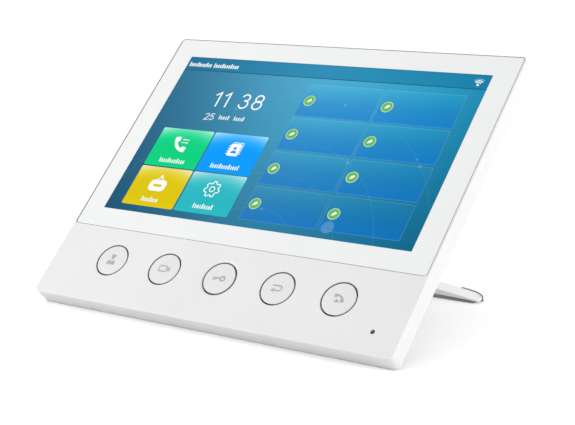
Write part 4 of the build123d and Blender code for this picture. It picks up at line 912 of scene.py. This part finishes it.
book_page = rounded(-29.3, -9.85, -22.7, -2.2, 0.75)
book_head = disc(-25.95, -5.1, 0.95)
book_bust = [(-27.75, -8.15)] + arc(-25.95, -7.75, 1.8, 178, 2, 14, 0.72) + [(-24.15, -8.15)]
book_symbol = [[book_page, book_head[::-1], book_bust[::-1]]]
book_symbol += [[rounded(-30.35, v - 0.28, -28.6, v + 0.28, 0.26)] for v in (-3.7, -5.35, -7.0, -8.65)]
book_symbol += [line([(-28.3, -1.55), (-22.2, -1.55), (-22.0, -1.9), (-22.0, -8.6)], 0.4)]
BOOK_SIZE = 0.84
BOOK_PLACE = (-26.2, -5.9)
book_symbol = moved(book_symbol, *(value * (1 - BOOK_SIZE) for value in BOOK_PLACE), BOOK_SIZE)

sign_board = rounded(-59.85, -31.4, -50.85, -25.6, 2.1, 8)
sign_bar = rounded(-57.7, -29.15, -53.0, -27.85, 0.5)
quiet_symbol = [[sign_board, sign_bar[::-1]]]
quiet_symbol += [line([(-57.2, -25.6), (-55.35, -23.9), (-53.5, -25.6)], 0.42), [disc(-55.35, -23.75, 0.72)]]

GEAR_TEETH = 7


def gear(u, v, inner, outer):
    """The wavy outline of a gear: one smooth wave for each tooth."""
    steps = 24 * GEAR_TEETH
    loop = []
    for i in range(steps):
        angle = 2 * pi * i / steps
        wave = 0.5 + 0.5 * max(-1.0, min(1.0, 1.7 * cos(GEAR_TEETH * angle - pi / 2 * GEAR_TEETH)))
        radius = inner + (outer - inner) * wave
        loop.append((u + radius * cos(angle), v + radius * sin(angle)))
    return loop


settings_symbol = [line(gear(-26.4, -26.9, 3.05, 3.95), 0.5, closed=True)]
settings_symbol += [line(disc(-26.4, -26.9, 1.25), 0.46, closed=True)]


BEAD_GAP = 0.5


def beads(u, v, count, height):
    """A row of rounded beads that stands where a word would; u and v are its middle."""
    widths = [0.55 + 0.2 * (i * i % 3) for i in range(count)]
    total = sum(widths) + BEAD_GAP * (count - 1)
    left = u - total / 2
    made = []
    for i, width in enumerate(widths):
        tall = height * (1.0 if i % 4 == 0 else 0.72)
        made.append([rounded(left, v - height * 0.4, left + width, v - height * 0.4 + tall, 0.2, 3)])
        left += width + BEAD_GAP
    return made


BEAD_HEIGHT = 2.5
labels = []
for u, v, count in ((-55.2, -15.2, 12), (-26.45, -15.2, 13), (-55.4, -36.1, 8), (-26.45, -36.1, 9)):
    labels += beads(u, v, count, BEAD_HEIGHT)
drawn = {"calls": calls_symbol, "book": book_symbol, "quiet": quiet_symbol, "settings": settings_symbol}
symbols = [plate(f"symbol_{name}", shapes, SYMBOL_WHITE, SYMBOL_TOP) for name, shapes in drawn.items()]
symbols.append(plate("tile_labels", labels, plain_glow("label_glow", shade(246, 253, 252)), SYMBOL_TOP))
print(len(symbols), "symbols,", len(labels), "beads")

# %% [markdown]
# ## The clock, the date and the status bar's marks
#
# The clock shows four thin digits. A digit is one or two lines drawn along arcs, so its strokes
# keep an even width. The day is two small digits, followed by beads for the month and the
# weekday. The status bar holds more beads and the wireless symbol at the right.

# %% Digits and status marks
STROKE = 0.72
DATE_STROKE = 0.92


def digit(number, width):
    """The strokes of a digit that is about seven and a half units tall."""
    strokes = {
        1: [[(-2.3, 6.15), (-0.1, 7.62), (-0.1, 0.05)]],
        2: [arc(0, 5.5, 2.1, 165, -25, 18) + [(1.0, 3.3), (-2.1, 0.05), (2.4, 0.05)]],
        3: [arc(-0.15, 5.75, 1.9, 160, -88, 22, 0.95), arc(-0.15, 2.2, 2.25, 90, -165, 24, 0.95)],
        5: [[(1.9, 7.6), (-1.5, 7.6), (-1.75, 4.1)], arc(-0.2, 2.55, 2.35, 120, -150, 22, 1.02)],
        8: [disc(0, 5.78, 1.95, 40, 0.95), disc(0, 2.2, 2.3, 44, 0.95)],
    }
    return [line(path, width, closed=number == 8) for path in strokes[number]]


CLOCK_FOOT = 16.1
clock = []
for number, across in ((1, -48.6), (1, -43.45), (3, -34.3), (8, -27.15)):
    clock += moved(digit(number, STROKE), across, CLOCK_FOOT)
DATE_FOOT = 8.5
DATE_SIZE = 0.44
date = []
for number, across in ((2, -49.95), (5, -47.15)):
    date += moved(digit(number, DATE_STROKE), across, DATE_FOOT, DATE_SIZE)
date += beads(-40.55, DATE_FOOT + 1.6, 5, 2.3) + beads(-32.45, DATE_FOOT + 1.6, 5, 2.3)

WIFI_U = 72.3
WIFI_V = 37.55
wifi = [[disc(WIFI_U, WIFI_V, 0.55)]]
wifi += [line(arc(WIFI_U, WIFI_V, radius, 45, 135, 12), 0.44) for radius in (1.35, 2.2)]
wifi_faint = [line(arc(WIFI_U, WIFI_V, 3.05, 45, 135, 14), 0.4)]
title = beads(-69.3, 38.4, 11, BEAD_HEIGHT) + beads(-54.7, 38.4, 12, BEAD_HEIGHT)

CLOCK_WHITE = plain_glow("clock_glow", WHITE)
marks = [
    plate("clock_digits", clock, CLOCK_WHITE, SYMBOL_TOP),
    plate("date_digits", date, plain_glow("date_glow", shade(232, 244, 250)), SYMBOL_TOP),
    plate("status_marks", title + wifi, CLOCK_WHITE, SYMBOL_TOP),
    plate("status_faint_mark", wifi_faint, plain_glow("faint_glow", shade(120, 190, 215)), SYMBOL_TOP),
]
print(len(clock), "strokes in the clock")

# %% [markdown]
# ## Round badges on the cards
#
# Each card has a green badge near its left edge, with a pale rim and a small white tag in it.
# Rim, disc and tag are three plates, each a little above the last.

# %% Badges
BADGE_US = (-1.85, 36.6)
BADGE_VS = (23.1, 5.05, -13.0, -31.1)
RIM_RADIUS = 2.78
FIELD_RADIUS = 2.36
TAG_TURN = 40
TAG = [[rounded(-0.85, -0.62, 1.0, 0.62, 0.22)], [rounded(-1.5, -0.26, -0.95, 0.26, 0.12)]]
rims = []
fields = []
tags = []
for u in BADGE_US:
    for v in BADGE_VS:
        rims.append([disc(u, v, RIM_RADIUS)])
        fields.append([disc(u, v, FIELD_RADIUS)])
        tags += moved(TAG, u + 0.15, v + 0.12, turn=TAG_TURN)
badge_field = Glow("badge_glow")
badge_greens = [(0.3, shade(100, 184, 86)), (0.7, shade(112, 191, 98))]
badge_shade = badge_field.ramp(badge_field.noise(2.0, 2.0), badge_greens)
badges = [
    plate("badge_rims", rims, plain_glow("badge_rim_glow", shade(186, 222, 188)), BADGE_RIM_TOP),
    plate("badge_fields", fields, badge_field.shine(badge_shade), BADGE_FIELD_TOP),
    plate("badge_tags", tags, SYMBOL_WHITE, BADGE_TAG_TOP),
]
print(len(rims), "badges")

# %% [markdown]
# ## Legends on the keys
#
# Each key is gently domed and carries a grey printed mark: a guard, a camera, a door key, a
# return arrow and a handset. Ink lies on the dome, so a flat plate would sink into it. The marks
# are therefore cut into small triangles first, and then each point is raised to the height of
# the dome beneath it, which is a circle's arc through the key's middle and edge.

# %% Ink that follows the dome
KEY_PITCH = 28.3
KEY_ROW = -67.8
KEY_CROWN = 0.2
DOME_HALF = 6.8
DOME_HEIGHT = 0.3
DOME_RADIUS = (DOME_HALF ** 2 + DOME_HEIGHT ** 2) / (2 * DOME_HEIGHT)
INK_THICK = 0.012
INK_ROOT = 0.03
INK_EDGE = 0.6
INK_CUTS = 5


def dome(distance):
    """Height of the key's face in front of the body's front, at a distance from its middle."""
    return KEY_CROWN - DOME_RADIUS + sqrt(DOME_RADIUS ** 2 - distance ** 2)


def key_middle(number):
    """Where the middle of a key lies across the panel; keys are numbered from the left, from 0."""
    return (number - 2) * KEY_PITCH


def laid_flat(u, v, depth):
    """A point of a drawing that is still flat, in millimetres."""
    return Vector((u, v, -depth))


def legend(key, number, shapes):
    """Print shapes, drawn about (0, 0), on the key with this name and number."""
    piece = plate(f"{key}_legend", shapes, INK, 0.0, place=laid_flat, bottom=INK_ROOT)
    ink = bmesh.new()
    ink.from_mesh(piece.data)
    for _ in range(INK_CUTS):
        long_edges = [edge for edge in ink.edges if edge.calc_length() > INK_EDGE]
        if not long_edges:
            break
        bmesh.ops.subdivide_edges(ink, edges=long_edges, cuts=1)
        bmesh.ops.triangulate(ink, faces=ink.faces)
    for point in ink.verts:
        u, v, low = point.co
        height = dome(sqrt(u * u + v * v)) + INK_THICK + low
        point.co = on_panel(key_middle(number) + u, KEY_ROW + v, -height)
    bmesh.ops.recalc_face_normals(ink, faces=ink.faces)
    ink.to_mesh(piece.data)
    ink.free()
    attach(piece, f"{key}_key_body")


ink_finish = Finish("legend_ink", roughness=0.5)
ink_speck = ink_finish.noise(0.15, 4.0)
ink_finish.paint(ink_speck, greys(140, 152))
ink_finish.dull(ink_speck, 0.42, 0.6)
ink_finish.relief(ink_speck, 0.003)
INK = ink_finish.material
print("domes of radius", round(DOME_RADIUS, 1), "mm")

# %% The five legends
guard_head = [(1.3, 2.65), (-1.3, 2.65)] + arc(0, 1.55, 1.1, 180, 360, 16, 1.05)
guard_chest = [(-2.1, -2.3)] + arc(0, -1.3, 2.1, 178, 112, 10, 0.66)
guard_chest += [(0.0, -0.85)] + arc(0, -1.3, 2.1, 68, 2, 10, 0.66) + [(2.1, -2.3)]
guard_shapes = [[guard_head], [guard_chest]]

camera_shapes = [line(rounded(-2.55, -1.3, 1.3, 1.3, 0.45), 0.6, closed=True),
                 [[(1.75, -0.45), (2.85, -1.25), (2.85, 1.25), (1.75, 0.45)]]]

key_shapes = [line(disc(1.75, 0, 1.0), 0.78, closed=True),
              [bar(-2.9, -0.3, 0.45, 0.38)], [bar(-2.7, -1.25, -2.05, -0.2)], [bar(-1.65, -1.0, -1.0, -0.2)]]

return_path = [(-2.3, 1.15), (1.0, 1.15)] + arc(1.0, 0.05, 1.1, 90, -90, 14)[1:] + [(-1.2, -1.05)]
return_shapes = [line(return_path, 0.62), [[(-2.65, -1.05), (-1.05, -0.05), (-1.05, -2.05)]]]

talk_shapes = [[[(-1.85, -1.65), (0.75, -1.65), (-0.55, -0.1)]]]
talk_shapes += moved(handset(), 0.45, 0.99, 2.25, turn=-165)

LEGENDS = {"guard": guard_shapes, "camera": camera_shapes, "unlock": key_shapes, "return": return_shapes,
           "talk": talk_shapes}
for number, (key, shapes) in enumerate(LEGENDS.items()):
    legend(key, number, shapes)
print(len(LEGENDS), "legends")

# %% [markdown]
# ## Painted shade in the gaps
#
# The shade in the gaps round the keys and the glass is painted with dark flat plates. Two short
# black crescents in the gap round each key, one below it and one at its upper right, paint the
# deeper shade there. A dark strip paints the shade in the hairline at the sides and foot of the
# glass, and a thin dark ring paints the shade in each key's gap. A disc of dark mesh covers the
# microphone's port and also paints the shade in that hole. All are flat plates, set a little
# behind the front face.

# %% Painted shade in the key gaps: short black crescents
SHADE_PLATE_THICK = 0.16


def painted_shade_plate(name, shapes, finish, depth, thick=SHADE_PLATE_THICK):
    """A dark flat plate of painted shade at a depth behind the front, which rides on the body."""
    piece = plate(name, shapes, finish, depth, bottom=depth + thick)
    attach(piece, "body")


SHADE_CRESCENT_INNER = 7.05
SHADE_CRESCENT_OUTER = 7.69
SHADE_CRESCENT_DEPTH = 0.1
SHADE_CRESCENT_THICK = 0.03
SHADE_CRESCENT_STEPS = 16
SHADE_CRESCENT_BLUNT = 0.01
SHADE_CRESCENT_ARCS = ((256, 30), (39, 20))


def gap_shade_crescent(across, middle, half):
    """A short dark crescent of painted shade in a key's gap, pointed at both ends; the angles are in degrees.
    """
    centre = (SHADE_CRESCENT_INNER + SHADE_CRESCENT_OUTER) / 2
    width = (SHADE_CRESCENT_OUTER - SHADE_CRESCENT_INNER) / 2
    outside = []
    inside = []
    for i in range(SHADE_CRESCENT_STEPS + 1):
        place = 2 * i / SHADE_CRESCENT_STEPS - 1
        angle = radians(middle + half * place)
        reach = width * sqrt(sqrt(max(0.0, 1 - place * place))) + SHADE_CRESCENT_BLUNT
        for side, radius in ((outside, centre + reach), (inside, centre - reach)):
            side.append((across + radius * cos(angle), KEY_ROW + radius * sin(angle)))
    return [outside + inside[::-1]]


# stops holds the dark crescents of painted shade, two in each key's gap.
stops = []
for number in range(5):
    stops += [gap_shade_crescent(key_middle(number), middle, half) for middle, half in SHADE_CRESCENT_ARCS]
painted_shade_plate("key_gap_shade_crescents", stops, foam("key_crescent_shade_foam", 12), SHADE_CRESCENT_DEPTH, SHADE_CRESCENT_THICK)
print(len(stops), "stops")

# %% Painted shade in the hairline round the glass
GLASS_HALF = 87.39
GLASS_CORNER = 1.3
GLASS_SHADE_DEPTH = 0.19
GLASS_SHADE_INNER = 0.04
GLASS_SHADE_OUTER = 0.27
GLASS_SHADE_HEAD = 51.3


def glass_shade_side(side):
    """The outline of the U-shaped strip of painted shade down one side, round a lower corner and half the
    foot.
    """
    u = GLASS_HALF - GLASS_CORNER
    v = GLASS_CORNER - GLASS_FOOT
    outside = arc(u, v, GLASS_CORNER + GLASS_SHADE_OUTER, 0, -90, 10)
    inside = arc(u, v, GLASS_CORNER + GLASS_SHADE_INNER, -90, 0, 10)
    whole = [(GLASS_HALF + GLASS_SHADE_OUTER, GLASS_SHADE_HEAD)] + outside + [(0.0, -GLASS_FOOT - GLASS_SHADE_OUTER)]
    whole += [(0.0, -GLASS_FOOT - GLASS_SHADE_INNER)] + inside + [(GLASS_HALF + GLASS_SHADE_INNER, GLASS_SHADE_HEAD)]
    return [(side * u, v) for u, v in whole]


# A dark strip paints the shade in the hairline at the sides and foot of the glass.
painted_shade_plate("glass_gap_shade", [[glass_shade_side(1)], [glass_shade_side(-1)]], foam("glass_gap_shade_foam", 70), GLASS_SHADE_DEPTH)
print("painted_shade_plate", round(GLASS_SHADE_OUTER - GLASS_SHADE_INNER, 2), "mm wide")

# %% Painted shade rings round the keys, and the microphone's mesh
GAP_INNER = 7.17
GAP_OUTER = 7.64
GAP_DEPTH = 0.14
MESH_PLACE = (76.35, -78.65)
MESH_RADIUS = 0.95
MESH_DEPTH = 0.8
RING_STEPS = 72

# Thin dark rings paint the shade in each key's gap. The dark mesh disc in the microphone's port also paints
# the shade in that hole.
gap_shade_rings = []
for number in range(5):
    loops = [disc(key_middle(number), KEY_ROW, radius, RING_STEPS) for radius in (GAP_OUTER, GAP_INNER)]
    gap_shade_rings.append([loops[0], loops[1][::-1]])
gap_and_port_shade_foam = foam("key_gap_and_port_shade_foam", 62)
painted_shade_plate("key_gap_shade_rings", gap_shade_rings, gap_and_port_shade_foam, GAP_DEPTH)
painted_shade_plate("microphone_mesh_and_shade", [[disc(*MESH_PLACE, MESH_RADIUS)]], gap_and_port_shade_foam, MESH_DEPTH)
print(len(gap_shade_rings), "gap rings and one mesh")

# %% [markdown]
# ## The sole's front band
#
# The stand's rubber sole turns up a little over the foot's front face, where it hides the joint
# between rubber and plastic. The band is tallest in the middle of the foot and thins towards the
# two wing tips, as the foot itself does. The sole's own box tells where the foot's front is.

# %% The band on the foot
BAND_HALF = 61.6
BAND_RIDGE_HALF = 12.0
BAND_FOOT = 0.2
BAND_TIP = 1.15
BAND_RISE = 0.024
BAND_THICK = 0.12
BAND_CHAMFER = 1.0
foot_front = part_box("foot_sole")[0][1]


def on_foot(across, height, depth):
    """A point on the foot's front face, in metres; a negative depth stands proud of it."""
    return Vector((across * MM, foot_front + depth * MM, height * MM))


band_ridge = BAND_TIP + BAND_RISE * (BAND_HALF - BAND_RIDGE_HALF)
band_end = BAND_HALF - BAND_CHAMFER
band_outline = [(-band_end, BAND_FOOT), (band_end, BAND_FOOT), (BAND_HALF, BAND_TIP),
                (BAND_RIDGE_HALF, band_ridge), (-BAND_RIDGE_HALF, band_ridge), (-BAND_HALF, BAND_TIP)]
band_rubber = rubber("sole_band_rubber", 122, 0.22, 0.15)
sole_band = plate("sole_band", [[band_outline]], band_rubber, -BAND_THICK, place=on_foot, bottom=-SINK / 2)
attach(sole_band, "stand")
print("band up to", round(band_ridge, 2), "mm tall")

# %% [markdown]
# ## Fasten every piece to its body
#
# The picture's pieces belong to the monitor's body, while the legends, the plates of painted shade
# and the band already ride on theirs.

# %% Ride and finish
picture = [wallpaper, status_bar, shadow_line, rings, dots, cards, card_frames]
picture += tiles + symbols + marks + badges
for piece in picture:
    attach(piece, "body")
print(len(picture), "pieces of picture ride on the body")

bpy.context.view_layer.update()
